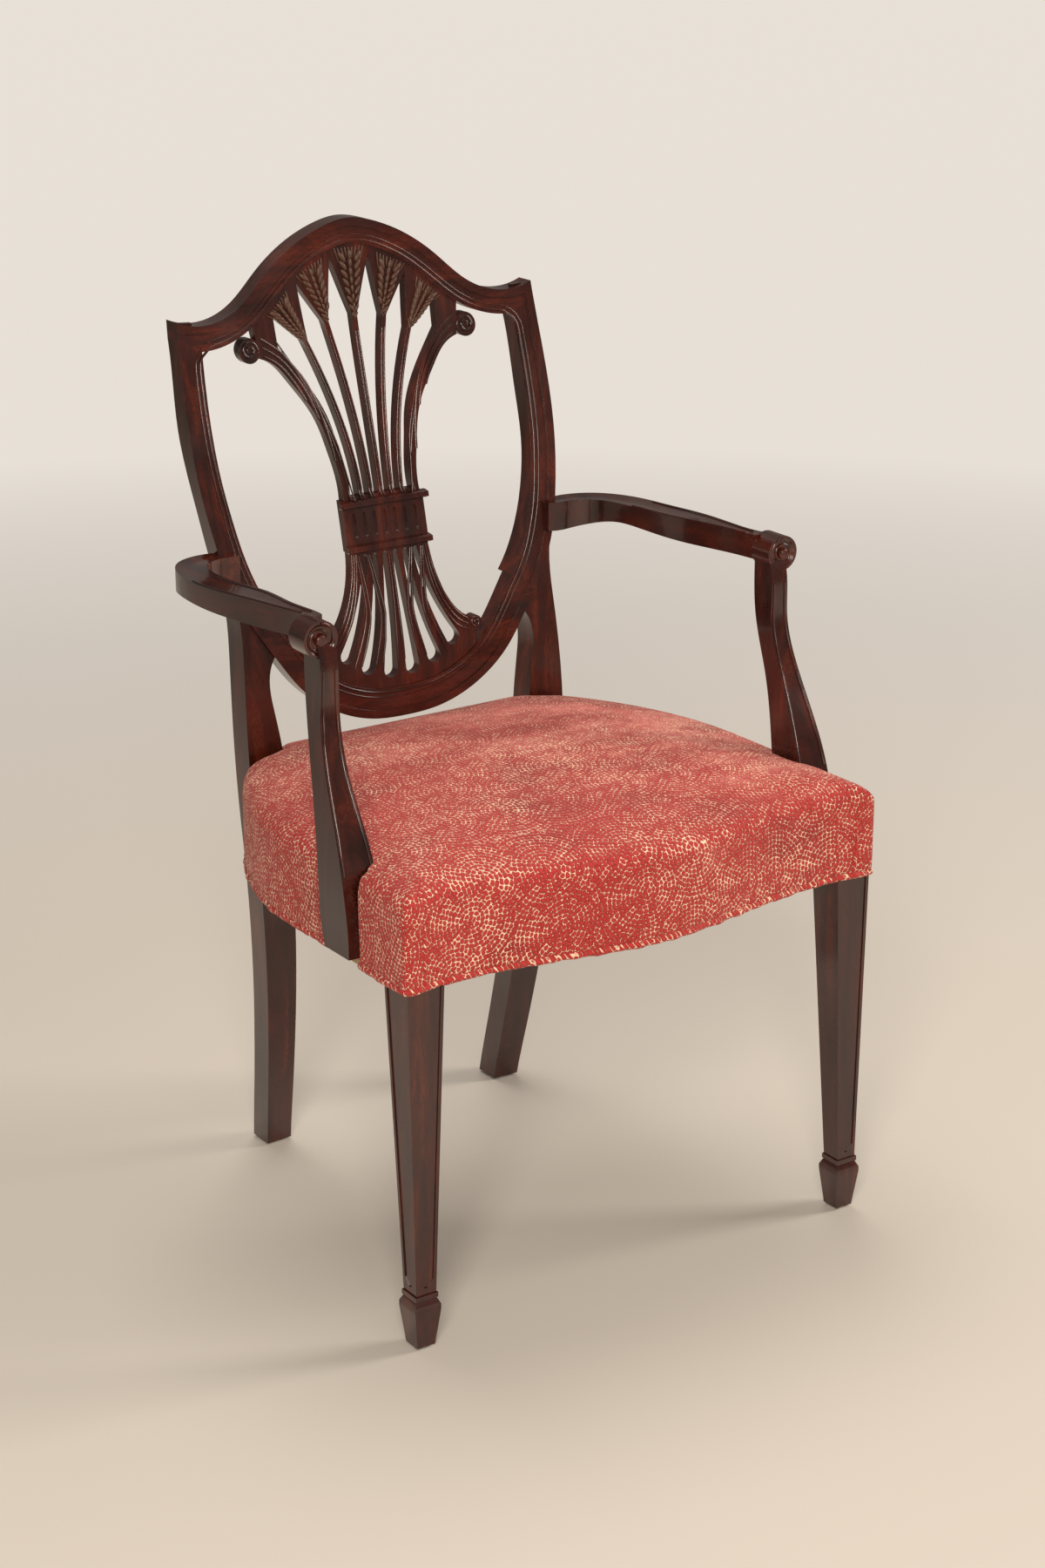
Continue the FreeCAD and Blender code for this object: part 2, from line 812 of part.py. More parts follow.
def loose_tenons(gap):
    """Tenons along the shield's edge, one across each joint, or with a gap their mortises."""
    tenons = []
    wide = size("loose_width") + 2 * gap
    thick = size("loose_thickness") + 2 * gap
    long = size("loose_length") + 2 * gap
    for parameter in (lower_joint, upper_joint):
        along = shield_edge.tangent(parameter)[0]
        middle = inward(shield_edge, parameter, frame_width(parameter) * 0.52, 1)
        y = back_front(middle.x, middle.y) + size("frame_depth") / 2
        for turn in (1, -1):
            lean = math.degrees(math.atan2(turn * along.x, along.y))
            block = Part.makeBox(wide, thick, long, FreeCAD.Vector(-wide / 2, -thick / 2, -long / 2))
            block.Placement = FreeCAD.Placement(
                FreeCAD.Vector(turn * middle.x, y, middle.y), FreeCAD.Rotation(FreeCAD.Vector(0, 1, 0), lean)
            ) * block.Placement
            tenons.append(block)
    return tenons


top_tongue = (inner_crest_line[0].y, 1)
low_tongue = (inner_base, -1)
tenon_pieces = solid("shield_tenons", Part.makeCompound(loose_tenons(0)))
joint_mortises = solid("shield_mortises", Part.makeCompound(loose_tenons(clearance)))
splat_blank = fuse("splat", [fluted] + beads + [splat_tongue(*top_tongue, 0), splat_tongue(*low_tongue, 0)])
crest = combine("Part::Cut", "crest_rail", crest,
                fuse("crest_mortises", [joint_mortises, splat_tongue(*top_tongue, clearance)]))
lower_rail = combine("Part::Cut", "shield_lower_rail", lower_rail,
                     fuse("lower_mortises", [joint_mortises, splat_tongue(*low_tongue, clearance)]))


# Seat frame in plan. The front is serpentine; the sides run straight and then
# curve in to the rear posts.
seat_half = size("seat_width") / 2
seat_front = size("seat_front")
break_x = seat_half - size("side_taper")
break_y = -size("side_break")
knee_front = size("knee_front")
arc_sweep = knee_front - break_y
arc_inset = break_x - knee_outer_x
arc_radius = (arc_inset ** 2 + arc_sweep ** 2) / (2 * arc_inset)
arc_centre_x = break_x - arc_radius
leg_square = size("leg_top_square")
leg_x = seat_half - leg_square / 2
leg_y = -seat_front + size("leg_set_back") + leg_square / 2
leg_inner_x = leg_x - leg_square / 2
leg_inner_y = leg_y + leg_square / 2
rail_thickness = size("rail_thickness")
front_rail_back = -seat_front + size("front_hollow") + rail_thickness
rear_rail_front = knee_front - 1
seat_rear = rear_rail_front + rail_thickness


def arc_point(radius, y):
    return arc_centre_x + math.sqrt(radius * radius - (y - break_y) ** 2)


def side_edges(turn, inset, front_y, rear_y):
    """Straight then curved line down one side of the seat."""
    radius = arc_radius - inset
    front = flat(turn * (seat_half - inset), front_y)
    corner = flat(turn * (break_x - inset), break_y)
    middle_y = (break_y + rear_y) / 2
    middle = flat(turn * arc_point(radius, middle_y), middle_y)
    rear = flat(turn * arc_point(radius, rear_y), rear_y)
    return segment(front, corner), Part.Arc(corner, middle, rear), front, rear


def front_line(outset, half):
    """Serpentine front: a centre bow between two shallow hollows."""
    shares = [(0, -size("front_bow")), (0.34, -size("front_bow") * 0.42), (0.72, size("front_hollow")), (1, 0)]
    right = [flat(half * share, -seat_front - outset + drop) for share, drop in shares]
    return spline(across(right)), right[-1]


def seat_edges(outset):
    """Closed outline of the seat frame, set out by a thickness."""
    rear_y = knee_front + 2
    line, end = front_line(outset, seat_half + outset)
    loop = [line]
    for turn in (1, -1):
        side, arc, front, rear = side_edges(turn, -outset, -seat_front - outset, rear_y)
        corner = flat(turn * (knee_inner_x + 20), seat_rear + outset)
        loop += [side, arc, segment(rear, corner)]
    loop.append(segment(flat(knee_inner_x + 20, seat_rear + outset), flat(-knee_inner_x - 20, seat_rear + outset)))
    return loop


def seat_prism(outset, low, high):
    edges = Part.sortEdges([edge.toShape() for edge in seat_edges(outset)])[0]
    face = Part.Face(Part.Wire(edges))
    face.translate(FreeCAD.Vector(0, 0, low))
    return face.extrude(FreeCAD.Vector(0, 0, high - low))


def rail_body(label, outline):
    """Piece sawn to one outline in plan, as deep as the seat rails."""
    body = doc.addObject("PartDesign::Body", label)
    plane = [face for face in body.Origin.OriginFeatures if face.Role == "XY_Plane"][0]
    sketch = body.newObject("Sketcher::SketchObject", label + "_sketch")
    sketch.AttachmentSupport = [(plane, "")]
    sketch.MapMode = "FlatFace"
    sketch.AttachmentOffset = FreeCAD.Placement(FreeCAD.Vector(0, 0, rail_base), FreeCAD.Rotation())
    bind(sketch, "AttachmentOffset.Base.z", "rail_top", "rail_depth")
    sketch.addGeometry(outline, False)
    pad = body.newObject("PartDesign::Pad", label + "_pad")
    pad.Profile = sketch
    pad.Length = size("rail_depth")
    bind(pad, "Length", "rail_depth")
    body.Tip = pad
    return body


tenon_low = rail_base + size("tenon_margin")
tenon_tall = size("rail_depth") - 2 * size("tenon_margin")


def tenon(low_x, low_y, wide, deep, gap):
    """Tenon, or with a gap its mortise, centred in a rail's height."""
    low_x, high_x = sorted((low_x, low_x + wide))
    return box((low_x - gap, low_y - gap, tenon_low - gap),
               (high_x + gap, low_y + deep + gap, tenon_low + tenon_tall + gap))


def side_name(turn):
    return "left" if turn > 0 else "right"


def sided(base, turn):
    return base + "_" + side_name(turn)


# Tenons of the seat rails; with a gap they are the mortises.
side_tenon_x = arc_centre_x + arc_radius - rail_thickness / 2 - arc_inset + 8
rear_tenon_y = rear_rail_front + rail_thickness / 2
tenon_width = size("tenon_width")
tenon_reach = size("tenon_reach")


def side_rail_tenons(turn, gap):
    """Rear tenon into the post and front tenon into the leg."""
    centre = turn * side_tenon_x
    rear = tenon(centre - tenon_width / 2, knee_front - tenon_reach, tenon_width, 2 * tenon_reach - 8, gap)
    front = tenon(turn * leg_x - tenon_width / 2, leg_inner_y - tenon_reach, tenon_width, tenon_reach + 1, gap)
    return rear, front


def rear_rail_tenon(turn, gap):
    inner = knee_inner_x - 4
    return tenon(turn * inner, rear_tenon_y - tenon_width / 2, turn * (tenon_reach + 4), tenon_width, gap)


def front_rail_tenon(turn, gap):
    return tenon(turn * (leg_inner_x - 1), leg_y - tenon_width / 2, turn * (tenon_reach + 1), tenon_width, gap)


nodes = {}
for turn, blank in ((1, right_post), (-1, left_post)):
    mortises = fuse("post_mortises", [side_rail_tenons(turn, clearance)[0], rear_rail_tenon(turn, clearance),
                                      joint_mortises])
    nodes[sided("back_post", turn)] = combine("Part::Cut", sided("back_post", turn), blank, mortises)

nodes["crest_rail"] = crest
nodes["shield_lower_rail"] = lower_rail
nodes["splat"] = splat_blank
nodes["shield_tenons"] = tenon_pieces


# Front legs: a spade foot, a collar, a square tapered shaft with sunk panels on
# its two show faces, and a square block that takes the rails.
def square_sketch(body, label, width_alias, x, y, z):
    """Square in plan, its width bound to the sheet."""
    plane = [face for face in body.Origin.OriginFeatures if face.Role == "XY_Plane"][0]
    sketch = body.newObject("Sketcher::SketchObject", label)
    sketch.AttachmentSupport = [(plane, "")]
    sketch.MapMode = "FlatFace"
    sketch.AttachmentOffset = FreeCAD.Placement(FreeCAD.Vector(x, y, z), FreeCAD.Rotation())
    half = size(width_alias) / 2
    corners = [flat(-half, -half), flat(half, -half), flat(half, half), flat(-half, half)]
    sketch.addGeometry([segment(a, b) for a, b in zip(corners, corners[1:] + corners[:1])], False)
    for line in range(4):
        sketch.addConstraint(Sketcher.Constraint("Coincident", line, 2, (line + 1) % 4, 1))
    for line, kind in enumerate(("Horizontal", "Vertical", "Horizontal", "Vertical")):
        sketch.addConstraint(Sketcher.Constraint(kind, line))
    sketch.addConstraint(Sketcher.Constraint("Symmetric", 0, 1, 2, 1, -1, 1))
    for line, kind in ((0, "DistanceX"), (1, "DistanceY")):
        index = sketch.addConstraint(Sketcher.Constraint(kind, line, 1, line, 2, size(width_alias)))
        sketch.setExpression("Constraints[%d]" % index, "sizes." + width_alias)
    return sketch


def square_loft(body, label, sections):
    loft = body.newObject("PartDesign::AdditiveLoft", label)
    loft.Profile = sections[0]
    loft.Sections = sections[1:]
    loft.Ruled = True
    body.Tip = loft
    return loft


front_foot_x = leg_x + size("foot_splay")
front_foot_y = leg_y - size("foot_forward")


def front_leg(turn):
    label = sided("front_leg", turn)
    body = doc.addObject("PartDesign::Body", label + "_turned")
    foot_x = turn * front_foot_x
    foot_y = front_foot_y
    top_x = turn * leg_x
    ankle = size("ankle_height")
    foot = [
        square_sketch(body, label + "_sole", "foot_base_square", foot_x, foot_y, glide_height),
        square_sketch(body, label + "_bulge", "foot_square", foot_x, foot_y, size("foot_bulge_height")),
        square_sketch(body, label + "_instep", "foot_square", foot_x, foot_y, size("foot_top")),
        square_sketch(body, label + "_ankle", "ankle_square", foot_x, foot_y, ankle),
    ]
    square_loft(body, label + "_foot", foot)
    collar = square_sketch(body, label + "_collar", "collar_square", foot_x, foot_y, ankle)
    ring = body.newObject("PartDesign::Pad", label + "_ring")
    ring.Profile = collar
    ring.Length = size("collar_depth")
    bind(ring, "Length", "collar_depth")
    body.Tip = ring
    shaft = [
        square_sketch(body, label + "_shaft_low", "ankle_square", foot_x, foot_y, ankle),
        square_sketch(body, label + "_shaft_high", "leg_top_square", top_x, leg_y, rail_base),
        square_sketch(body, label + "_block", "leg_top_square", top_x, leg_y, rail_top),
    ]
    square_loft(body, label + "_shaft", shaft)
    panels = fuse(label + "_panels", leg_panels(turn, foot_x, foot_y, top_x, leg_y))
    mortises = fuse(label + "_mortises", [side_rail_tenons(turn, clearance)[1],
                                          front_rail_tenon(turn, clearance)])
    around_seat = Part.makeBox(4 * seat_half, 4 * seat_half, size("rail_depth") + 10,
                               FreeCAD.Vector(-2 * seat_half, -2 * seat_half, rail_base))
    outside = around_seat.cut(seat_prism(0, rail_base - 1, rail_top + 20))
    flush = fuse(label + "_waste", [panels, mortises, solid(label + "_outside", outside)])
    return combine("Part::Cut", label, body, flush)


def leg_panels(turn, foot_x, foot_y, top_x, top_y):
    """Sunk panels with a pointed lower end, on the front and the outer face."""
    margin = size("panel_margin")
    sink = size("panel_sink")
    ankle = size("ankle_height")
    base = ankle + size("collar_depth") + 2 * margin

    def shaft_at(z):
        share = (z - ankle) / (rail_base - ankle)
        half = (size("ankle_square") + (leg_square - size("ankle_square")) * share) / 2
        return foot_x + (top_x - foot_x) * share, foot_y + (top_y - foot_y) * share, half

    cutters = []
    for face in ("front", "outer"):
        rings = []
        for z, opened in ((base, 0.25), (base + 2 * margin, 1), (rail_base, 1)):
            x, y, half = shaft_at(z)
            wide = (half - margin) * opened
            if face == "front":
                near = y - half - 2
                far = y - half + sink
                corners = [(x - wide, near), (x + wide, near), (x + wide, far), (x - wide, far)]
            else:
                near = x + turn * (half + 2)
                far = x + turn * (half - sink)
                corners = [(near, y - wide), (near, y + wide), (far, y + wide), (far, y - wide)]
            points = [FreeCAD.Vector(px, py, z) for px, py in corners]
            rings.append(Part.makePolygon(points + points[:1]))
        cutters.append(solid("leg_panel", Part.makeLoft(rings, True, True)))
    return cutters


for turn in (1, -1):
    nodes[sided("front_leg", turn)] = front_leg(turn)


# Seat rails.
def side_rail(turn):
    label = sided("side_rail", turn)
    rear_y = knee_front + 6
    outer_line, outer_arc, outer_front, outer_rear = side_edges(turn, 0, leg_inner_y, rear_y)
    inner_line, inner_arc, inner_front, inner_rear = side_edges(turn, rail_thickness, leg_inner_y, rear_y)
    outline = [outer_line, outer_arc, segment(outer_rear, inner_rear), inner_arc, inner_line,
               segment(inner_front, outer_front)]
    body = rail_body(label + "_sawn", outline)
    scribed = combine("Part::Cut", label + "_scribed", body, right_post if turn > 0 else left_post)
    return fuse(label, [scribed] + list(side_rail_tenons(turn, 0)))


def front_rail():
    """Serpentine rail between the two front legs."""
    curve, corner = front_line(0, seat_half)
    low = curve.parameter(flat(0, -seat_front - size("front_bow")))
    high = curve.parameter(corner)
    for _ in range(40):
        middle = (low + high) / 2
        if curve.value(middle).x < leg_inner_x:
            low = middle
        else:
            high = middle
    end = curve.value(low)
    left_end = mirror_point(end)
    curve.segment(curve.parameter(left_end), low)
    back = flat(end.x, front_rail_back)
    left_back = mirror_point(back)
    outline = [curve, segment(end, back), segment(back, left_back), segment(left_back, left_end)]
    body = rail_body("front_rail_sawn", outline)
    return fuse("front_rail", [body, front_rail_tenon(1, 0), front_rail_tenon(-1, 0)])


def rear_rail():
    reach = knee_outer_x - 18
    outline = polygon([(-reach, rear_rail_front), (reach, rear_rail_front), (reach, seat_rear),
                       (-reach, seat_rear)])
    body = rail_body("rear_rail_sawn", outline)
    scribed = combine("Part::Cut", "rear_rail_scribed", body, fuse("both_posts", [right_post, left_post]))
    return fuse("rear_rail", [scribed, rear_rail_tenon(1, 0), rear_rail_tenon(-1, 0)])


side_rails = {}
for turn in (1, -1):
    side_rails[turn] = side_rail(turn)
    nodes[sided("side_rail", turn)] = side_rails[turn]
nodes["front_rail"] = front_rail()
nodes["rear_rail"] = rear_rail()


# Arms: a lobe lapped on the stile, a dished elbow, and a forearm that ends in a
# volute. Each station is a section square to the arm's run in plan.
support_outer = seat_half + size("support_proud")
arm_height = size("arm_height")
arm_line = support_outer - size("arm_inset")
lobe_height = arm_height - size("lobe_drop")
volute_x = support_outer - size("volute_inset")
volute_y = -size("volute_set_y")
volute_z = arm_height - size("volute_drop")
stile_x = shield_edge.value(parameter_at_height(lobe_height - 17)).x
stile_y = back_front(stile_x, lobe_height - 17) - 1


def arm_stations():
    """Centre x, centre y, heading in degrees from +X, width, top, height of each section."""
    swing = arm_line - stile_x
    end_y = volute_y + size("volute_length") - 4
    run = stile_y - end_y
    return [
        (stile_x - 13.5, stile_y, 0, 20, lobe_height, 32),
        (stile_x + 4.5, stile_y, 0, 24, lobe_height, 33),
        (stile_x + 0.34 * swing, stile_y - 0.007 * run, -22, 28, arm_height - 11.5, 32),
        (stile_x + 0.7 * swing, stile_y - 0.057 * run, -46, 31, arm_height - 11, 28),
        (stile_x + 0.92 * swing, stile_y - 0.163 * run, -70, 33, arm_height - 10, 24),
        (arm_line, stile_y - 0.298 * run, -85, 34, arm_height - 9, 24),
        (arm_line - 1.5, stile_y - 0.52 * run, -92, 35, arm_height - 5.2, 26.5),
        (arm_line - 2.5, stile_y - 0.71 * run, -91, 26, arm_height - 2, 27),
        (arm_line - 3.5, stile_y - 0.84 * run, -90, 19, arm_height - 0.3, 26),
        (volute_x - 8, end_y, -86, 15, arm_height + 2.5, 27),
    ]


def arm_section(turn, station):
    """Section with a dished top and a rounded belly."""
    x, y, heading, width, top, tall = station
    angle = math.radians(heading + 90)
    across_x = math.cos(angle) * turn
    across_y = math.sin(angle)
    half = width / 2
    dish = 0.07 * width
    belly = 0.08 * width

    def at(offset, z):
        return FreeCAD.Vector(turn * x + across_x * offset, y + across_y * offset, z)

    low = top - tall
    points = [at(-half, low + belly), at(-0.45 * half, low), at(0.45 * half, low), at(half, low + belly),
              at(half, top), at(0, top - dish), at(-half, top)]
    return Part.makePolygon(points + points[:1])


def volute(turn):
    """Roundel at the front of the arm: a rim, a sunk ring and a raised eye."""
    radius = size("volute_radius")
    length = size("volute_length")
    profile = [(0, -1.5), (0.28 * radius, -1.5), (0.34 * radius, 2), (0.7 * radius, 2), (0.84 * radius, 0),
               (radius, 0), (radius, length), (0, length)]
    points = [FreeCAD.Vector(turn * volute_x + out, volute_y + back, volute_z) for out, back in profile]
    face = Part.Face(Part.makePolygon(points + points[:1]))
    return face.revolve(FreeCAD.Vector(turn * volute_x, volute_y, volute_z), FreeCAD.Vector(0, 1, 0), 360)


def arm(turn):
    label = sided("arm", turn)
    sections = [arm_section(turn, station) for station in arm_stations()]
    run = solid(label + "_run", lofted(sections))
    whole = fuse(label + "_whole", [run, solid(label + "_volute", volute(turn))])
    return combine("Part::Cut", label, whole, right_post if turn > 0 else left_post)


# Arm supports: sawn to a serpentine, lapped on the outside of the side rails.
support_foot = rail_base + size("support_lift")


def support_stations():
    """Height, front edge, back edge, outer face and thickness of each section."""
    span = volute_z - 4 - support_foot
    shares = [
        (1, 2, 24, -15, 20),
        (0.85, -4, 24, -14.2, 20),
        (0.7, -8, 16, -11.5, 22),
        (0.55, -24, 3.5, -7, 25.5),
        (0.4, -44, -8, -3, 32),
        (0.27, -58, -15, -0.5, 36.5),
        (0.13, -66.5, -18, 0, 37),
        (0, -69, -27, 0, 37),
    ]
    return [(support_foot + span * share, volute_y + front, volute_y + back, support_outer + out, thick)
            for share, front, back, out, thick in shares]


def support_body(turn, grow):
    sections = []
    for z, front, back, outer, thick in support_stations():
        inner = outer - thick - grow
        corners = [(outer + grow, front - grow), (outer + grow, back + grow), (inner, back + grow),
                   (inner, front - grow)]
        points = [FreeCAD.Vector(turn * x, y, z) for x, y in corners]
        sections.append(Part.makePolygon(points + points[:1]))
    return lofted(sections)


def arm_support(turn, arm_piece):
    label = sided("arm_support", turn)
    run = solid(label + "_run", support_body(turn, 0))
    coped = combine("Part::Cut", label + "_coped", run, arm_piece)
    inside = box((min(0, turn * break_x), -seat_front, support_foot - 20), (max(0, turn * break_x), 0, rail_top))
    lapped = combine("Part::Cut", label + "_lapped", coped, inside)
    return combine("Part::Cut", label, lapped, side_rails[turn])


for turn in (1, -1):
    nodes[sided("arm", turn)] = arm(turn)
    nodes[sided("arm_support", turn)] = arm_support(turn, nodes[sided("arm", turn)])


# Corner blocks glued inside the seat frame, scribed to the rails and the leg.
block_reach = size("block_reach")
inner_radius = arc_radius - rail_thickness


def rail_inside(y):
    """Inner face of the side rail at one depth."""
    if y > break_y:
        return arc_point(inner_radius, y)
    front = seat_half - rail_thickness
    share = (y - leg_inner_y) / (break_y - leg_inner_y)
    return front + (break_x - rail_thickness - front) * share


def corner_block(turn, place):
    label = "%s_block_%s" % (place, side_name(turn))
    if place == "front":
        far = front_rail_back + 1.3 * block_reach
        points = [(leg_inner_x, front_rail_back), (leg_inner_x, leg_inner_y), (rail_inside(leg_inner_y), leg_inner_y),
                  (rail_inside(far), far), (rail_inside(far) - 1.3 * block_reach, front_rail_back)]
        outline = polygon([(turn * x, y) for x, y in points])
    else:
        near = back_front(knee_outer_x, rail_base) - 0.5
        far = near - block_reach
        middle = (near + far) / 2
        start, through, end = [flat(turn * rail_inside(y), y) for y in (far, middle, near)]
        corners = [(knee_inner_x - 1, near), (knee_inner_x - 1, rear_rail_front),
                   (knee_inner_x - block_reach, rear_rail_front)]
        chain = [end] + [flat(turn * x, y) for x, y in corners] + [start]
        outline = [Part.Arc(start, through, end)] + [segment(a, b) for a, b in zip(chain, chain[1:])]
    body = rail_body(label, outline)
    margin = size("block_drop")
    pad = body.Tip
    pad.setExpression("Length", "sizes.rail_depth - 2 * sizes.block_drop")
    body.Placement = FreeCAD.Placement(FreeCAD.Vector(0, 0, margin), FreeCAD.Rotation())
    return body


for turn in (1, -1):
    for place in ("front", "rear"):
        nodes["%s_block_%s" % (place, side_name(turn))] = corner_block(turn, place)


# Glides under the four feet: one nail-on disc, set in four places.
def glide_body():
    body = doc.addObject("PartDesign::Body", "glide")
    plane = [face for face in body.Origin.OriginFeatures if face.Role == "XY_Plane"][0]
    sketch = body.newObject("Sketcher::SketchObject", "glide_sketch")
    sketch.AttachmentSupport = [(plane, "")]
    sketch.MapMode = "FlatFace"
    sketch.addGeometry(Part.Circle(flat(0, 0), FreeCAD.Vector(0, 0, 1), size("glide_radius")), False)
    index = sketch.addConstraint(Sketcher.Constraint("Radius", 0, size("glide_radius")))
    sketch.setExpression("Constraints[%d]" % index, "sizes.glide_radius")
    sketch.addConstraint(Sketcher.Constraint("Coincident", 0, 3, -1, 1))
    pad = body.newObject("PartDesign::Pad", "glide_pad")
    pad.Profile = sketch
    pad.Length = glide_height
    bind(pad, "Length", "glide_height")
    body.Tip = pad
    doc.recompute()
    return body


rear_foot_x = (foot_inner_x + foot_outer_x) / 2
rear_foot_y = back_front(rear_foot_x, 0) + size("post_depth") / 2
glide = glide_body()
glides = []
for turn in (1, -1):
    for x, y in ((front_foot_x, front_foot_y), (rear_foot_x, rear_foot_y)):
        disc = glide.Shape.copy()
        disc.translate(FreeCAD.Vector(turn * x, y, 0))
        glides.append(disc)
nodes["foot_glides"] = solid("foot_glides", Part.makeCompound(glides))


# Upholstery: webbing on the rails, the stuffed seat, its wall of cloth round the
# rails, and a cloth under the seat.
cover = size("cover_thickness")
soft = size("soft_clearance")
webbing_thickness = size("webbing_thickness")
cover_base = rail_base - size("cover_drop")


def around(shape, tools):
    for tool in tools:
        shape = shape.cut(tool)
    return shape


def webbing(name, count, lengthwise, layer):
    """Flat strips from rail to rail."""
    width = size("webbing_width")
    low = rail_top + layer * webbing_thickness
    inside = seat_prism(-3, low, low + webbing_thickness)
    strips = []
    for index in range(count):
        if lengthwise:
            pitch_across = 2 * (knee_inner_x - width / 2 - 6) / (count - 1)
            middle = (index - (count - 1) / 2) * pitch_across
            strip = Part.makeBox(width, 3 * seat_half, webbing_thickness,
                                 FreeCAD.Vector(middle - width / 2, -1.5 * seat_half, low))
        else:
            start = -seat_front + leg_square + width
            pitch_across = (rear_rail_front - width - start) / (count - 1)
            middle = start + index * pitch_across
            strip = Part.makeBox(3 * seat_half, width, webbing_thickness,
                                 FreeCAD.Vector(-1.5 * seat_half, middle - width / 2, low))
        strips.append(around(strip.common(inside), support_clear()))
    return solid(name + "_strips", Part.makeCompound(strips))


def post_clear():
    """Room for the rear posts beside the stuffing."""
    inner = knee_inner_x - 1.5
    front = back_front(knee_outer_x, rail_base) - 1.2
    room = []
    for turn in (1, -1):
        low = min(turn * inner, turn * 3 * inner)
        room.append(Part.makeBox(2 * inner, 200, 300, FreeCAD.Vector(low, front, cover_base - 20)))
    return room


def support_clear():
    return [support_body(turn, soft) for turn in (1, -1)]


def stuffed_seat():
    """Crowned seat: walls drawn in to a rounded shoulder, then a low dome."""
    base = rail_top + 2 * webbing_thickness + soft
    wall = rail_top + size("wall_rise")
    crown = size("crown_rise")
    centre_y = -0.18 * seat_front
    levels = [(1, 0), (0.992, 0.14), (0.968, 0.29), (0.92, 0.43), (0.83, 0.58), (0.69, 0.74), (0.5, 0.87),
              (0.28, 0.96), (0.06, 1)]
    edges = Part.sortEdges([edge.toShape() for edge in seat_edges(cover)])[0]
    outline = Part.Wire(edges)
    sections = []
    for share, rise in levels:
        shrunk = FreeCAD.Matrix()
        shrunk.A11 = share
        shrunk.A22 = share
        shrunk.A24 = centre_y * (1 - share)
        shrunk.A34 = wall + crown * rise
        sections.append(outline.transformGeometry(shrunk))
    lower = Part.Face(outline)
    lower.translate(FreeCAD.Vector(0, 0, base))
    return lower.extrude(FreeCAD.Vector(0, 0, wall - base)).fuse(Part.makeLoft(sections, True, True))


def side_wall():
    """Wall of cloth round the rails."""
    high = rail_top + 2 * webbing_thickness
    return seat_prism(cover, cover_base, high).cut(seat_prism(soft, cover_base, high))


def under_cloth():
    thick = size("dust_cover_thickness")
    low = rail_base - soft - thick
    cloth = seat_prism(-2, low, low + thick)
    for turn in (1, -1):
        half = leg_square / 2 + 1.5 * soft
        corner = FreeCAD.Vector(turn * leg_x - half, leg_y - half, low - 5)
        cloth = cloth.cut(Part.makeBox(2 * half, 2 * half, 10, corner))
    return cloth


nodes["webbing_lengthwise"] = webbing("webbing_lengthwise", 4, True, 0)
nodes["webbing_crosswise"] = webbing("webbing_crosswise", 5, False, 1)
nodes["seat_cushion"] = solid("seat_cushion", around(stuffed_seat(), post_clear() + support_clear()))
nodes["seat_wall"] = solid("seat_wall", around(side_wall(), post_clear() + support_clear()))
nodes["dust_cover"] = solid("dust_cover", around(under_cloth(), post_clear()))
doc.recompute()

for item in doc.Objects:
    broken = [state for state in item.State if state in ("Invalid", "Error")]
    if broken:
        raise RuntimeError("%s is %s" % (item.Label, broken))
for name, item in nodes.items():
    item.Label = name
    shape = item.Shape
    if shape.isNull() or not shape.isValid():
        raise RuntimeError(name + " is not a valid shape")
    item.Shape.exportStep("parts/%s.step" % name)
    print(name, len(shape.Solids), "solids", round(shape.Volume / 1000, 1), "cm3")
print(len(nodes), "nodes")
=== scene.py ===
import bpy
import bmesh
import math
import numpy as np
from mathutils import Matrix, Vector
from mathutils.bvhtree import BVHTree


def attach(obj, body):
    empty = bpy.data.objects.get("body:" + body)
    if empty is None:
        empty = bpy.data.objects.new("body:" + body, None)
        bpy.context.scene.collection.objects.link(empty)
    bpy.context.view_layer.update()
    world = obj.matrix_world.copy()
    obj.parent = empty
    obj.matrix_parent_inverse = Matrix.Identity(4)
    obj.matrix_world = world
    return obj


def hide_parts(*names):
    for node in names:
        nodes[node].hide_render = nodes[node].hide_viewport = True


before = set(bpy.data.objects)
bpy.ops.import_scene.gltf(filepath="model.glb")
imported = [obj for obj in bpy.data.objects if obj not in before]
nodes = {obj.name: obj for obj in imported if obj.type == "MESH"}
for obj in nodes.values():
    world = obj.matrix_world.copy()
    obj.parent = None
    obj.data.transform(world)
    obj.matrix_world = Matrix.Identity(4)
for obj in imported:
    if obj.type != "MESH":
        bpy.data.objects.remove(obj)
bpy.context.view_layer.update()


# Node maths: a socket wrapped so that + - * / work on it.
class Val:
    def __init__(self, kit, socket):
        self.kit = kit
        self.socket = socket

    def math(self, operation, *others):
        return self.kit.maths(operation, self, *others)

    def __add__(self, other):
        return self.math("ADD", other)

    __radd__ = __add__

    def __sub__(self, other):
        return self.math("SUBTRACT", other)

    def __rsub__(self, other):
        return self.kit.maths("SUBTRACT", other, self)

    def __mul__(self, other):
        return self.math("MULTIPLY", other)

    __rmul__ = __mul__

    def __truediv__(self, other):
        return self.math("DIVIDE", other)

    def __rtruediv__(self, other):
        return self.kit.maths("DIVIDE", other, self)

    def __pow__(self, other):
        return self.math("POWER", other)


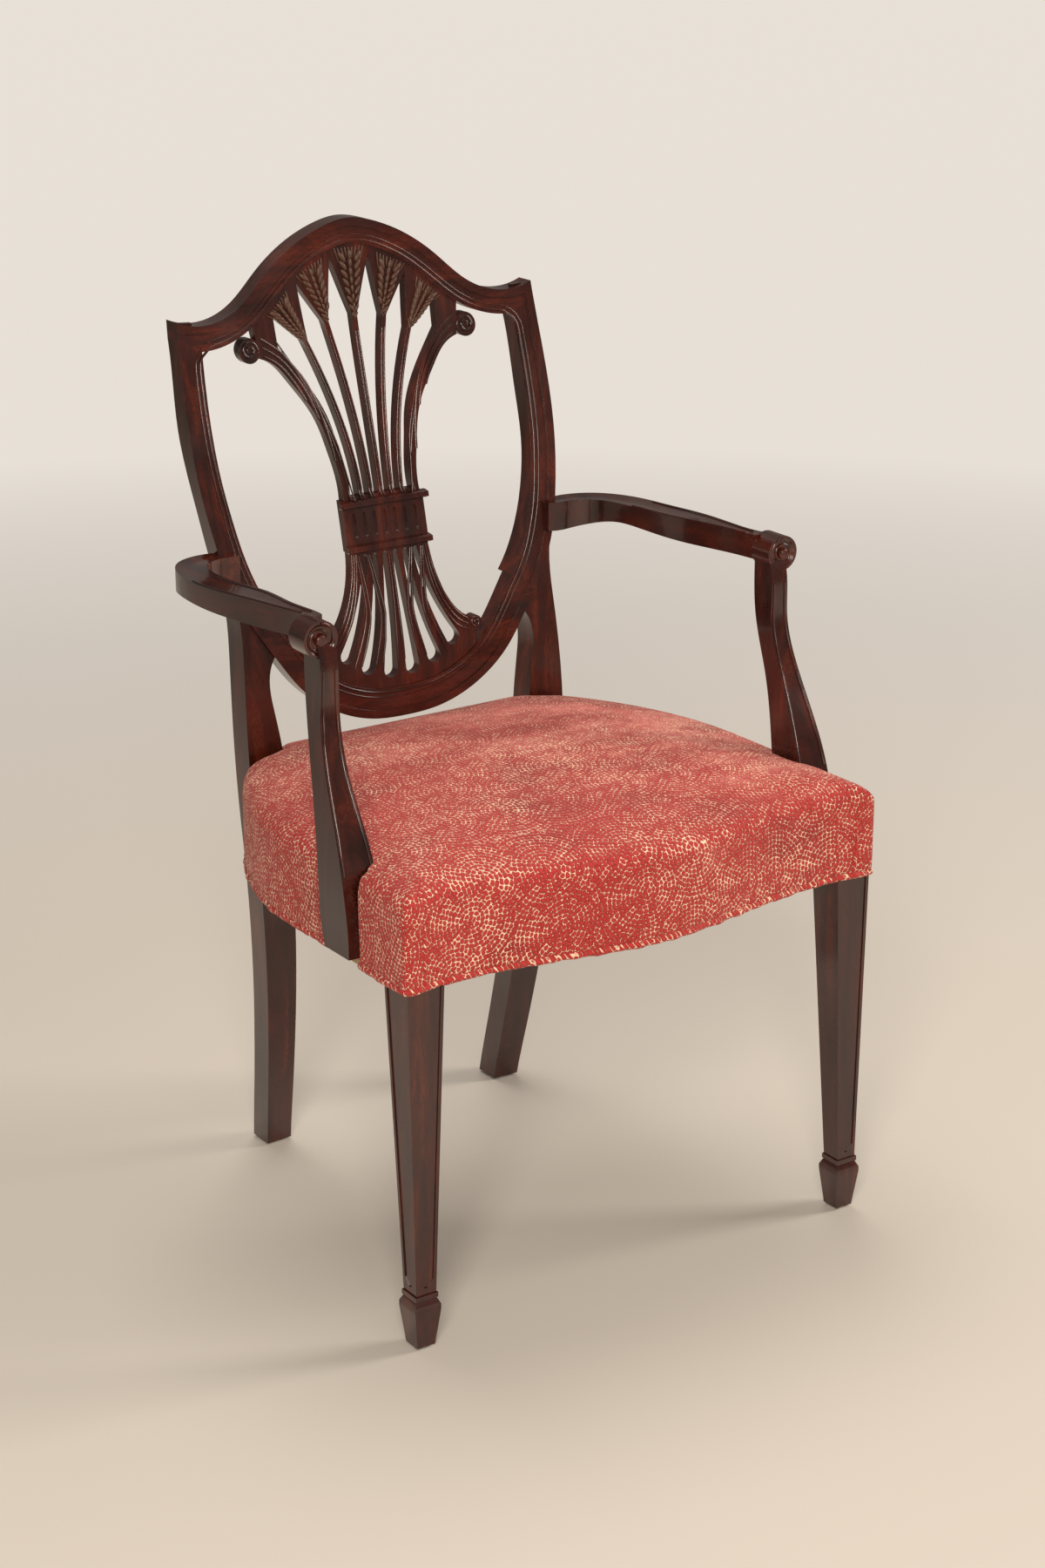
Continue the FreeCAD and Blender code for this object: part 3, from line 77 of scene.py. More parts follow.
# Makes and joins the nodes of one node tree.
class Kit:
    def __init__(self, tree):
        self.tree = tree

    def plug(self, socket, value):
        if isinstance(value, Val):
            value = value.socket
        if isinstance(value, bpy.types.NodeSocket):
            self.tree.links.new(value, socket)
        else:
            socket.default_value = value

    def node(self, kind, settings=None, *ordered, **named):
        # Settings first, then the sockets, in their order or by name.
        made = self.tree.nodes.new(kind)
        for key, value in (settings or {}).items():
            if key == "stops":
                self.fillRamp(made.color_ramp, value)
            else:
                setattr(made, key, value)
        for index, value in enumerate(ordered):
            self.plug(made.inputs[index], value)
        for key, value in named.items():
            self.plug(made.inputs[key.replace("_", " ")], value)
        return made

    def fillRamp(self, ramp, stops):
        while len(ramp.elements) < len(stops):
            ramp.elements.new(0.5)
        for element, (place, colour) in zip(ramp.elements, stops):
            element.position = place
            element.color = (*colour, 1)

    def value(self, node, name=0):
        return Val(self, node.outputs[name])

    def maths(self, operation, *values):
        return self.value(self.node("ShaderNodeMath", {"operation": operation}, *values))

    def attribute(self, name, kind):
        made = self.node("GeometryNodeInputNamedAttribute", {"data_type": kind}, Name=name)
        return self.value(made, "Attribute")


# A material and the nodes that materials share.
class MaterialKit(Kit):
    def __init__(self, name, viewport):
        self.material = bpy.data.materials.new(name)
        self.material.use_nodes = True
        self.material.diffuse_color = (*viewport, 1)
        super().__init__(self.material.node_tree)
        self.shader = self.tree.nodes["Principled BSDF"]

    def noise(self, vector, scale, detail=3.0, rough=0.5):
        made = self.node("ShaderNodeTexNoise", Vector=vector, Scale=scale, Detail=detail, Roughness=rough)
        return self.value(made, "Fac")

    def mapped(self, vector, scale=(1, 1, 1), turn=(0, 0, 0)):
        return self.node("ShaderNodeMapping", Vector=vector, Scale=scale, Rotation=turn).outputs[0]

    def mix(self, fac, first, second):
        made = self.node("ShaderNodeMix", {"data_type": "RGBA"}, fac)
        for socket, value in zip(made.inputs[6:8], (first, second)):    # the two colour sockets
            self.plug(socket, (*value, 1) if isinstance(value, tuple) else value)
        return made.outputs[2]

    def ramp(self, fac, stops):
        return self.node("ShaderNodeValToRGB", {"stops": stops}, fac).outputs[0]

    def span(self, value, low, high, toLow=0.0, toHigh=1.0):
        return self.value(self.node("ShaderNodeMapRange", {"clamp": True}, value, low, high, toLow, toHigh))

    def bump(self, height, strength, distance):
        return self.node("ShaderNodeBump", Strength=strength, Distance=distance, Height=height).outputs[0]

    def finish(self, **sockets):
        for key, value in sockets.items():
            self.plug(self.shader.inputs[key.replace("_", " ")], value)
        return self.material

    def objectCoords(self):
        return self.node("ShaderNodeTexCoord").outputs["Object"]

    def uvCoords(self, name):
        return self.node("ShaderNodeUVMap", {"uv_map": name}).outputs[0]


# Dark mahogany under a rubbed lacquer. The grain runs along one axis of the piece.
mahogany = {
    "alongGrain": 1.1,
    "acrossGrain": 9,
    "dark": (0.0095, 0.0016, 0.0008),
    "mid": (0.047, 0.0066, 0.0027),
    "warm": (0.140, 0.0200, 0.0062),
    "tonePlaces": (0.34, 0.52, 0.72),
    "driftScale": 2.2,
    "wanderScale": 1.3,
    "figureScale": 5.5,
    "figureShare": 0.7,
    "poreScale": 90.0,
    "poreShade": 0.45,
    "poreDepth": 0.0004,
    "smearScale": 16.0,
    "smoothest": 0.17,
    "roughest": 0.32,
    "coat": 0.52,
    "coatRoughness": 0.09,
}


def mahoganyWood(name, grainAxis):
    kit = MaterialKit(name, (0.1, 0.03, 0.02))
    stretch = [mahogany["alongGrain"] if axis == grainAxis else mahogany["acrossGrain"] for axis in "XYZ"]
    coords = kit.mapped(kit.objectCoords(), scale=stretch)
    drift = kit.noise(coords, mahogany["driftScale"], detail=2.0)
    wander = kit.node("ShaderNodeTexNoise", Vector=coords, Scale=mahogany["wanderScale"], Detail=2.0)
    bent = kit.node("ShaderNodeVectorMath", {"operation": "ADD"}, coords, wander.outputs["Color"])
    figure = kit.noise(bent.outputs[0], mahogany["figureScale"], detail=6.0, rough=0.62)
    pores = kit.noise(coords, mahogany["poreScale"], detail=2.0, rough=0.6)
    tones = (mahogany["dark"], mahogany["mid"], mahogany["warm"])
    tone = kit.ramp(figure * mahogany["figureShare"] + drift * (1 - mahogany["figureShare"]),
                    list(zip(mahogany["tonePlaces"], tones)))
    fine = kit.span(pores, 0.42, 0.62, 0.0, mahogany["poreShade"])
    smear = kit.noise(kit.objectCoords(), mahogany["smearScale"])
    return kit.finish(Base_Color=kit.mix(fine, tone, mahogany["dark"]),
                      Roughness=kit.span(smear, 0.3, 0.7, mahogany["smoothest"], mahogany["roughest"]),
                      Normal=kit.bump(pores, 0.06, mahogany["poreDepth"]),
                      Coat_Weight=mahogany["coat"], Coat_Roughness=mahogany["coatRoughness"])


uprightWood = mahoganyWood("mahoganyUpright", "Z")
crosswiseWood = mahoganyWood("mahoganyCrosswise", "X")
lengthwiseWood = mahoganyWood("mahoganyLengthwise", "Y")


# Carving keeps dust and old polish in its hollows, so it looks browner and drier.
carved = {
    "dark": (0.016, 0.0052, 0.0024),
    "light": (0.085, 0.031, 0.0135),
    "stretch": (60, 60, 9),
    "streakScale": 6.0,
    "raisedShare": 0.6,
    "smoothest": 0.36,
    "roughest": 0.56,
    "depth": 0.0005,
}


def carvedWood():
    kit = MaterialKit("mahoganyCarved", (0.2, 0.1, 0.06))
    stretched = kit.mapped(kit.objectCoords(), scale=carved["stretch"])
    streak = kit.noise(stretched, carved["streakScale"], detail=4.0)
    pointed = kit.value(kit.node("ShaderNodeNewGeometry"), "Pointiness")
    raised = kit.span(pointed, 0.47, 0.56)
    tone = kit.mix(streak, carved["dark"], carved["light"])
    return kit.finish(Base_Color=kit.mix(raised * carved["raisedShare"], tone, carved["light"]),
                      Roughness=kit.span(streak, 0.3, 0.7, carved["smoothest"], carved["roughest"]),
                      Normal=kit.bump(streak, 0.2, carved["depth"]))


plainBeech = {
    "dark": (0.36, 0.22, 0.11),
    "light": (0.55, 0.37, 0.2),
    "stretch": (3, 12, 12),
    "grainScale": 7.0,
    "roughness": 0.7,
    "depth": 0.0006,
}


def beechWood():
    kit = MaterialKit("plainBeech", (0.6, 0.45, 0.3))
    stretched = kit.mapped(kit.objectCoords(), scale=plainBeech["stretch"])
    grain = kit.noise(stretched, plainBeech["grainScale"], detail=5.0)
    colour = kit.ramp(grain, [(0.3, plainBeech["dark"]), (0.7, plainBeech["light"])])
    return kit.finish(Base_Color=colour, Roughness=plainBeech["roughness"],
                      Normal=kit.bump(grain, 0.2, plainBeech["depth"]))


cloths = {
    "blackCambric": {"scale": 260.0, "hollow": (0.006, 0.006, 0.007), "thread": (0.024, 0.023, 0.024),
                     "roughness": 0.9},
    "juteWebbing": {"scale": 90.0, "hollow": (0.2, 0.13, 0.06), "thread": (0.5, 0.37, 0.2),
                    "roughness": 0.85},
}


def wovenCloth(name):
    cloth = cloths[name]
    kit = MaterialKit(name, cloth["thread"])
    coords = kit.objectCoords()
    threads = [kit.value(kit.node("ShaderNodeTexWave", {"bands_direction": axis}, Vector=coords,
                                  Scale=cloth["scale"])) for axis in ("X", "Y")]
    height = threads[0] * threads[1]
    colour = kit.ramp(height, [(0.0, cloth["hollow"]), (1.0, cloth["thread"])])
    return kit.finish(Base_Color=colour, Roughness=cloth["roughness"],
                      Normal=kit.bump(height, 0.45, 0.0005))


nickel = {
    "dark": (0.36, 0.34, 0.31),
    "light": (0.56, 0.54, 0.5),
    "wearScale": 160.0,
    "smoothest": 0.22,
    "roughest": 0.40,
    "depth": 0.0003,
}


def platedSteel():
    kit = MaterialKit("glideNickel", (0.5, 0.5, 0.48))
    wear = kit.noise(kit.objectCoords(), nickel["wearScale"], detail=4.0)
    colour = kit.ramp(wear, [(0.3, nickel["dark"]), (0.7, nickel["light"])])
    rough = kit.span(wear, 0.3, 0.7, nickel["smoothest"], nickel["roughest"])
    return kit.finish(Base_Color=colour, Roughness=rough, Metallic=1.0,
                      Normal=kit.bump(wear, 0.06, nickel["depth"]))


# Cut velvet: pebbles of coral pile in rings that crowd into rosettes, with the pale
# backing showing between them where the pile is parted.
velvet = {
    "pile": (0.61, 0.038, 0.034),
    # deep red of the low pile, also used for painted shade
    "deep": (0.24, 0.0065, 0.0055),
    # pale pink of brushed pile and of painted sheen
    "brushedSheen": (0.75, 0.20, 0.170),
    "backing": (0.94, 0.69, 0.49),
    "ringPitch": 0.0046,
    "ringShift": 0.37,
    "pebbleLength": 0.0052,
    "pebbleRim": 0.62,
    "rosette": 0.068,
    "looseTurn": (math.radians(35), math.radians(25), 0),
    "wanderScale": 170.0,
    "wander": 0.0044,
    "patchScale": 6.5,
    "parting": 0.09,
    "partedFrom": (0.56, 0.70),
    "partedShare": 0.88,
    "pebbleChance": 0.42,
    "pileScale": 1400.0,
    "strokeScale": 7.5,
    "strokeStretch": (1, 1.7, 1),
    "brushedSheenFrom": (0.46, 0.72),
    "brushedSheenShare": 0.85,
    "shadeFrom": (0.34, 0.52),
    "depth": 0.0014,
    "sheen": 0.22,
    "sheenTint": (1.0, 0.60, 0.52, 1),
}


def ringsOfPebbles(kit, coords):
    # Polar grid round the nearest rosette centre. Gives the distance from the middle of
    # each pebble, 0 there and 1 at its rim, and a number of its own for each pebble.
    cells = kit.node("ShaderNodeTexVoronoi", {"voronoi_dimensions": "2D"},
                     Vector=coords, Scale=1 / velvet["rosette"], Randomness=0.8)
    away = kit.node("ShaderNodeVectorMath", {"operation": "SUBTRACT"}, coords, cells.outputs["Position"])
    parts = kit.node("ShaderNodeSeparateXYZ", Vector=away.outputs[0])
    aside, along = kit.value(parts, "X"), kit.value(parts, "Y")
    ring = kit.maths("SQRT", aside * aside + along * along) / velvet["ringPitch"]
    ringIndex = kit.maths("FLOOR", ring)
    around = kit.maths("ARCTAN2", along, aside) / (2 * math.pi) + 0.5
    pebbles = (ringIndex + 0.5) * (2 * math.pi * velvet["ringPitch"] / velvet["pebbleLength"])
    place = around * kit.maths("ROUND", pebbles) + ringIndex * velvet["ringShift"]
    across = kit.maths("ABSOLUTE", kit.maths("FRACT", ring) - 0.5) * 2
    lengthwise = kit.maths("ABSOLUTE", kit.maths("FRACT", place) - 0.5) * 2
    rim = kit.maths("SQRT", across ** 3.0 * velvet["pebbleRim"] + lengthwise ** 3.0 * velvet["pebbleRim"])
    pair = kit.node("ShaderNodeCombineXYZ", X=ringIndex, Y=kit.maths("FLOOR", place))
    chance = kit.node("ShaderNodeTexWhiteNoise", {"noise_dimensions": "2D"}, Vector=pair.outputs[0])
    return rim, kit.value(chance)


def cutVelvet(kit, coords):
    flat = kit.mapped(coords, scale=(1, 1, 0))
    drift = kit.node("ShaderNodeTexNoise", Vector=flat, Scale=velvet["wanderScale"], Detail=2.0)
    wandered = kit.node("ShaderNodeVectorMath", {"operation": "MULTIPLY_ADD"}, drift.outputs["Color"],
                        (velvet["wander"], velvet["wander"], 0), flat)
    rim, chance = ringsOfPebbles(kit, kit.mapped(wandered.outputs[0], scale=(1, 1, 0)))
    parts = kit.node("ShaderNodeSeparateXYZ", Vector=flat)
    slope = kit.value(parts, "X") * 1.1 + kit.value(parts, "Y") * 1.5
    patches = kit.noise(flat, velvet["patchScale"], rough=0.55)
    parting = kit.span(patches - slope * 0.10, 0.34, 0.64, -velvet["parting"], velvet["parting"])
    parted = kit.span(rim - chance * velvet["pebbleChance"] + parting, *velvet["partedFrom"])
    pile = kit.noise(flat, velvet["pileScale"], detail=2.0)
    stroke = kit.noise(kit.mapped(flat, scale=velvet["strokeStretch"]), velvet["strokeScale"],
                       detail=4.0, rough=0.6)
    # Lighter pink patches, more toward the back and right: brushed pile and painted sheen.
    brushedSheen = kit.span(stroke + slope * 0.40, *velvet["brushedSheenFrom"])
    # Painted shade: darker patches, more toward the front and left.
    shade = kit.span(stroke - slope * 0.12, *velvet["shadeFrom"], 0.85, 0.0)
    colour = kit.mix(kit.span(pile, 0.3, 0.75, 0.15, 1.0), velvet["deep"], velvet["pile"])
    colour = kit.mix(brushedSheen * velvet["brushedSheenShare"], colour, velvet["brushedSheen"])
    colour = kit.mix(shade, colour, velvet["deep"])
    # Painted shade: darker toward each pebble's rim, where the pile dips between pebbles.
    colour = kit.mix(kit.span(rim, 0.30, 0.62) * 0.6, colour, velvet["deep"])
    colour = kit.mix(parted * velvet["partedShare"], colour, velvet["backing"])
    height = (1.0 - kit.span(rim, 0.30, 0.85)) + pile * 0.3
    return kit.finish(Base_Color=colour, Roughness=kit.span(pile, 0.3, 0.7, 0.74, 0.94),
                      Sheen_Weight=velvet["sheen"], Sheen_Roughness=0.45, Sheen_Tint=velvet["sheenTint"],
                      Normal=kit.bump(height, 0.6, velvet["depth"]))


def velvetOn(name, mapName):
    kit = MaterialKit(name, (0.62, 0.2, 0.17))
    if mapName:
        return cutVelvet(kit, kit.uvCoords(mapName))
    return cutVelvet(kit, kit.mapped(kit.objectCoords(), turn=velvet["looseTurn"]))


carvedMahogany = carvedWood()
seatVelvet = velvetOn("coralVelvet", "clothMap")
weltVelvet = velvetOn("coralVelvetWelt", None)
beech = beechWood()
glideSteel = platedSteel()
blackCambric = wovenCloth("blackCambric")
juteStrap = wovenCloth("juteWebbing")
print("materials ready")


def paint(obj, material):
    obj.data.materials.clear()
    obj.data.materials.append(material)


def settle(piece, slotName, *replaced):
    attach(piece, "root")
    if replaced:
        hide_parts(*replaced)


def linked(name, mesh):
    piece = bpy.data.objects.new(name, mesh)
    bpy.context.scene.collection.objects.link(piece)
    return piece


def placedMesh(node):
    mesh = nodes[node].data.copy()
    mesh.transform(nodes[node].matrix_world)
    return mesh


def evaluated(piece):
    # The piece with its modifiers applied, as a plain mesh.
    graph = bpy.context.evaluated_depsgraph_get()
    mesh = bpy.data.meshes.new_from_object(piece.evaluated_get(graph), depsgraph=graph)
    piece.modifiers.clear()
    piece.data = mesh
    return mesh


easing = {"weld": 0.00002, "flat": 0.05, "width": 0.0009, "segments": 2, "sharp": 32, "weight": 60}


def dressed(node, material):
    # A copy of the CAD piece, welded, with its sharp edges eased.
    mesh = placedMesh(node)
    work = bmesh.new()
    work.from_mesh(mesh)
    bmesh.ops.remove_doubles(work, verts=work.verts, dist=easing["weld"])
    bmesh.ops.dissolve_limit(work, angle_limit=math.radians(easing["flat"]),
                             verts=work.verts, edges=work.edges)
    work.to_mesh(mesh)
    work.free()
    piece = linked(node + "_eased", mesh)
    paint(piece, material)
    bevel = piece.modifiers.new("easedEdges", "BEVEL")
    bevel.width = easing["width"]
    bevel.segments = easing["segments"]
    bevel.limit_method = "ANGLE"
    bevel.angle_limit = math.radians(easing["sharp"])
    mesh.shade_smooth()
    level = piece.modifiers.new("levelFaces", "WEIGHTED_NORMAL")
    level.mode = "FACE_AREA_WITH_ANGLE"
    level.weight = easing["weight"]
    settle(piece, "mahogany", node)


for node in ("back_post_left", "back_post_right", "front_leg_left", "front_leg_right",
             "arm_support_left", "arm_support_right", "splat"):
    dressed(node, uprightWood)
for node in ("crest_rail", "shield_lower_rail"):
    dressed(node, crosswiseWood)
for node in ("arm_left", "arm_right"):
    dressed(node, lengthwiseWood)
for node in ("side_rail_left", "side_rail_right", "front_rail", "rear_rail",
             "front_block_left", "front_block_right", "rear_block_left", "rear_block_right"):
    paint(nodes[node], beech)
paint(nodes["shield_tenons"], crosswiseWood)
paint(nodes["foot_glides"], glideSteel)
for node in ("webbing_lengthwise", "webbing_crosswise"):
    paint(nodes[node], juteStrap)
paint(nodes["dust_cover"], blackCambric)
print("frame pieces dressed")


# Surfaces of the CAD pieces, for laying carved work on them.
def surfaceOf(*names):
    corners, faces = [], []
    for name in names:
        mesh = placedMesh(name)
        first = len(corners)
        corners += [vertex.co.copy() for vertex in mesh.vertices]
        faces += [[first + index for index in face.vertices] for face in mesh.polygons]
    return BVHTree.FromPolygons(corners, faces)


splatSurface = surfaceOf("splat")
frameSurface = surfaceOf("crest_rail", "back_post_left", "back_post_right", "shield_lower_rail")
backSurface = surfaceOf("splat", "crest_rail", "back_post_left", "back_post_right", "shield_lower_rail")


rayStart = {"front": -0.5, "above": 0.9}    # clear of the chair


def struck(surface, start, direction):
    return surface.ray_cast(Vector(start), Vector(direction))[0]


def fromFront(surface, x, z):
    return struck(surface, (x, rayStart["front"], z), (0, 1, 0))


def fromAbove(surface, x, y):
    return struck(surface, (x, y, rayStart["above"]), (0, 0, -1))


def onFront(surface, x, z, proud=0.0):
    hit = fromFront(surface, x, z)
    return None if hit is None else Vector((x, hit.y - proud, z))


def startTree(name, sockets):
    tree = bpy.data.node_groups.new(name, "GeometryNodeTree")
    for label, kind in sockets:
        tree.interface.new_socket(label, in_out="INPUT", socket_type="NodeSocket" + kind)
    tree.interface.new_socket("Piece", in_out="OUTPUT", socket_type="NodeSocketGeometry")
    kit = Kit(tree)
    return kit, kit.node("NodeGroupInput").outputs


def mouldedTree():
    # Round moulding along a path. The half width of each point is its attribute reach.
    kit, given = startTree("mouldedRun", (("Path", "Geometry"), ("Sides", "Int"), ("Lump", "Float"),
                                          ("Wood", "Material")))
    curve = kit.node("GeometryNodeMeshToCurve", Mesh=given["Path"])
    reach = kit.attribute("reach", "FLOAT")
    noise = kit.value(kit.node("ShaderNodeTexNoise", Scale=90.0), "Fac")
    profile = kit.node("GeometryNodeCurvePrimitiveCircle", Resolution=given["Sides"], Radius=1.0)
    sweep = kit.node("GeometryNodeCurveToMesh", Curve=curve.outputs[0],
                     Profile_Curve=profile.outputs["Curve"],
                     Scale=(noise - 0.5) * given["Lump"] * reach + reach, Fill_Caps=True)
    whole = kit.node("GeometryNodeRealizeInstances", Geometry=sweep.outputs[0])
    coat = kit.node("GeometryNodeSetMaterial", Geometry=whole.outputs[0], Material=given["Wood"])
    kit.node("NodeGroupOutput", Piece=coat.outputs[0])
    return kit.tree


def strewnTree():
    # Carved grains: a stretched ball set on every point, turned and sized by its attributes.
    kit, given = startTree("carvedGrains", (("Points", "Geometry"), ("Shape", "Vector"),
                                            ("Wood", "Material")))
    points = kit.node("GeometryNodeMeshToPoints", Mesh=given["Points"])
    ball = kit.node("GeometryNodeMeshUVSphere", Segments=10, Rings=7, Radius=1.0)
    form = kit.node("GeometryNodeTransform", Geometry=ball.outputs["Mesh"], Scale=given["Shape"])
    place = kit.node("GeometryNodeInstanceOnPoints", Points=points.outputs[0], Instance=form.outputs[0],
                     Rotation=kit.attribute("turn", "FLOAT_VECTOR"), Scale=kit.attribute("reach", "FLOAT"))
    whole = kit.node("GeometryNodeRealizeInstances", Geometry=place.outputs[0])
    smooth = kit.node("GeometryNodeSetShadeSmooth", Geometry=whole.outputs[0])
    coat = kit.node("GeometryNodeSetMaterial", Geometry=smooth.outputs[0], Material=given["Wood"])
    kit.node("NodeGroupOutput", Piece=coat.outputs[0])
    return kit.tree


mouldedRun = mouldedTree()
carvedGrains = strewnTree()


def grown(name, mesh, tree, **values):
    # Runs a node tree on the mesh and keeps the plain result.
    piece = linked(name, mesh)
    modifier = piece.modifiers.new("grown", "NODES")
    modifier.node_group = tree
    for socket in tree.interface.items_tree:
        if socket.in_out == "INPUT" and socket.name in values:
            modifier[socket.identifier] = values[socket.name]
    evaluated(piece).shade_smooth()
    return piece


def moulding(name, paths, wood, sides=8, lump=0.0, slotName="mahogany"):
    # Each path is a list of (point, half width).
    points, edges, reaches = [], [], []
    for path in paths:
        for index, (point, reach) in enumerate(path):
            if index:
                edges.append((len(points) - 1, len(points)))
            points.append(point)
            reaches.append(reach)
    mesh = bpy.data.meshes.new(name)
    mesh.from_pydata(points, edges, [])
    mesh.attributes.new("reach", "FLOAT", "POINT").data.foreach_set("value", reaches)
    settle(grown(name, mesh, mouldedRun, Sides=sides, Lump=lump, Wood=wood), slotName)


def grains(name, seeds, shape, wood):
    # Each seed is (point, turn, size).
    mesh = bpy.data.meshes.new(name)
    mesh.from_pydata([seed[0] for seed in seeds], [], [])
    turns = [part for seed in seeds for part in seed[1]]
    mesh.attributes.new("turn", "FLOAT_VECTOR", "POINT").data.foreach_set("vector", turns)
    mesh.attributes.new("reach", "FLOAT", "POINT").data.foreach_set("value", [seed[2] for seed in seeds])
    settle(grown(name, mesh, carvedGrains, Shape=shape, Wood=wood), "mahogany")


def laidRun(surface, places, reach, proud=0.0, taper=0.0):
    # A path of (x, z) laid on the front of a surface, left out where it meets nothing.
    path = []
    last = len(places) - 1
    for index, (x, z) in enumerate(places):
        point = onFront(surface, x, z, proud)
        if point is not None:
            path.append((point, reach * (1 - taper * abs(2 * index / last - 1) ** 4)))
    return path


def bothSides(runs):
    return [[(turn * x, z) for x, z in places] for turn in (-1, 1) for places in runs]


# Wheat sheaf: stalks, ribs, scrolls and rosettes. Places are (x, z) on the side of +X.
sheaf = {
    "stalks": 4,
    "stalkPitch": 0.0123,
    "stalkSpread": 0.0197,
    "stalkPower": 1.8,
    "stalkLow": 0.697,
    "stalkRise": 0.1655,
    "stalkSteps": 30,
    "stalkHalf": 0.0016,
    "stalkReach": 0.00115,
    "stalkTaper": 0.3,
    "flaredRibs": (     # the two edges of the upper and of the lower rib
        (((0.0530, 0.700), (0.0600, 0.752), (0.0725, 0.795), (0.0884, 0.8238), (0.1005, 0.8375),
          (0.1136, 0.8453)),
         ((0.0455, 0.700), (0.0505, 0.760), (0.0640, 0.812), (0.0838, 0.8441), (0.0956, 0.8562),
          (0.1156, 0.8708))),
        (((0.0475, 0.643), (0.0488, 0.630), (0.0512, 0.617), (0.0560, 0.602), (0.0617, 0.588),
          (0.0689, 0.576), (0.0770, 0.567), (0.0850, 0.561)),
         ((0.0395, 0.643), (0.0425, 0.615), (0.0490, 0.588), (0.0590, 0.566), (0.0710, 0.551),
          (0.0850, 0.5445))),
    ),
    "flaredShares": (0.16, 0.5, 0.84),
    "flaredPoints": 40,
    "slotRibs": ((0.0, 0.0, 0.0), (0.0263, 0.0170, 0.0268), (0.0394, 0.0350, 0.0530)),
    "slotHeights": (0.641, 0.580, 0.528),
    "slotHalves": (0.0011, 0.0024, 0.0042),
    "slotPoints": 30,
    "ribReach": 0.0016,
    "ribTaper": 0.4,
    "spirals": (    # centre, outer and inner radius, turns, first angle, way round
        ((0.130, 0.8565), 0.0105, 0.0018, 1.7, 200, -1),
        ((0.0944, 0.553), 0.0062, 0.0012, 1.5, 60, 1),
    ),
    "spiralReach": 0.0014,
    "spiralTaper": 0.5,
}


def stalkRuns():
    runs = []
    half = sheaf["stalkHalf"]
    for order in range(sheaf["stalks"]):
        for offset in (-half, half) if order else (half,):
            places = []
            for step in range(sheaf["stalkSteps"] + 1):
                share = step / sheaf["stalkSteps"]
                x = order * (sheaf["stalkPitch"] + sheaf["stalkSpread"] * share ** sheaf["stalkPower"])
                places.append((x + offset, sheaf["stalkLow"] + sheaf["stalkRise"] * share))
            runs.append(places)
    return bothSides(runs)


def spanned(points, steps=24):
    # A smooth run through a few places, with as many steps between each two of them.
    run = []
    for index in range(len(points) - 1):
        before = points[max(index - 1, 0)]
        first, second = points[index], points[index + 1]
        after = points[min(index + 2, len(points) - 1)]
        for step in range(steps):
            share = step / steps
            run.append(tuple(
                0.5 * (2 * b + (c - a) * share + (2 * a - 5 * b + 4 * c - d) * share ** 2
                       + (3 * b - a - 3 * c + d) * share ** 3)
                for a, b, c, d in zip(before, first, second, after)))
    run.append(points[-1])
    return run


def between(low, high, share):
    return [(a[0] + (b[0] - a[0]) * share, a[1] + (b[1] - a[1]) * share) for a, b in zip(low, high)]


def even(points, count):
    # The same run with evenly spaced points.
    lengths = [0.0]
    for first, second in zip(points, points[1:]):
        lengths.append(lengths[-1] + math.dist(first, second))
    result = []
    for step in range(count):
        want = lengths[-1] * step / (count - 1)
        index = max(i for i, length in enumerate(lengths) if length <= want)
        index = min(index, len(points) - 2)
        span = lengths[index + 1] - lengths[index]
        share = (want - lengths[index]) / span if span else 0
        result.append(tuple(a + (b - a) * share for a, b in zip(points[index], points[index + 1])))
    return result


def ribRuns():
    runs = []
    for edges in sheaf["flaredRibs"]:
        low, high = [even(spanned(places), sheaf["flaredPoints"]) for places in edges]
        runs += [between(low, high, share) for share in sheaf["flaredShares"]]
    for across in sheaf["slotRibs"]:    # ribs between the lower slots
        for way in (-1, 1) if across[0] else (1,):
            places = [(x + way * half, z)
                      for x, half, z in zip(across, sheaf["slotHalves"], sheaf["slotHeights"])]
            runs.append(even(spanned(places), sheaf["slotPoints"]))
    return bothSides(runs)


def spiral(centre, outer, inner, turns, start, direction, steps=70, power=0.85):
    places = []
    for step in range(steps + 1):
        share = step / steps
        radius = outer + (inner - outer) * share ** power
        angle = math.radians(start) + direction * turns * 2 * math.pi * share
        places.append((centre[0] + radius * math.cos(angle), centre[1] + radius * math.sin(angle)))
    return places


lifted = 0.0001     # beads stand this far off the surface they lie on
sheafPaths = [laidRun(splatSurface, run, sheaf["stalkReach"], lifted, sheaf["stalkTaper"])
              for run in stalkRuns()]
sheafPaths += [laidRun(splatSurface, run, sheaf["ribReach"], 0.0, sheaf["ribTaper"]) for run in ribRuns()]
sheafPaths += [laidRun(backSurface, run, sheaf["spiralReach"], 2 * lifted, sheaf["spiralTaper"])
               for run in bothSides([spiral(*values) for values in sheaf["spirals"]])]
moulding("sheaf_reeding", [path for path in sheafPaths if len(path) > 3], uprightWood)


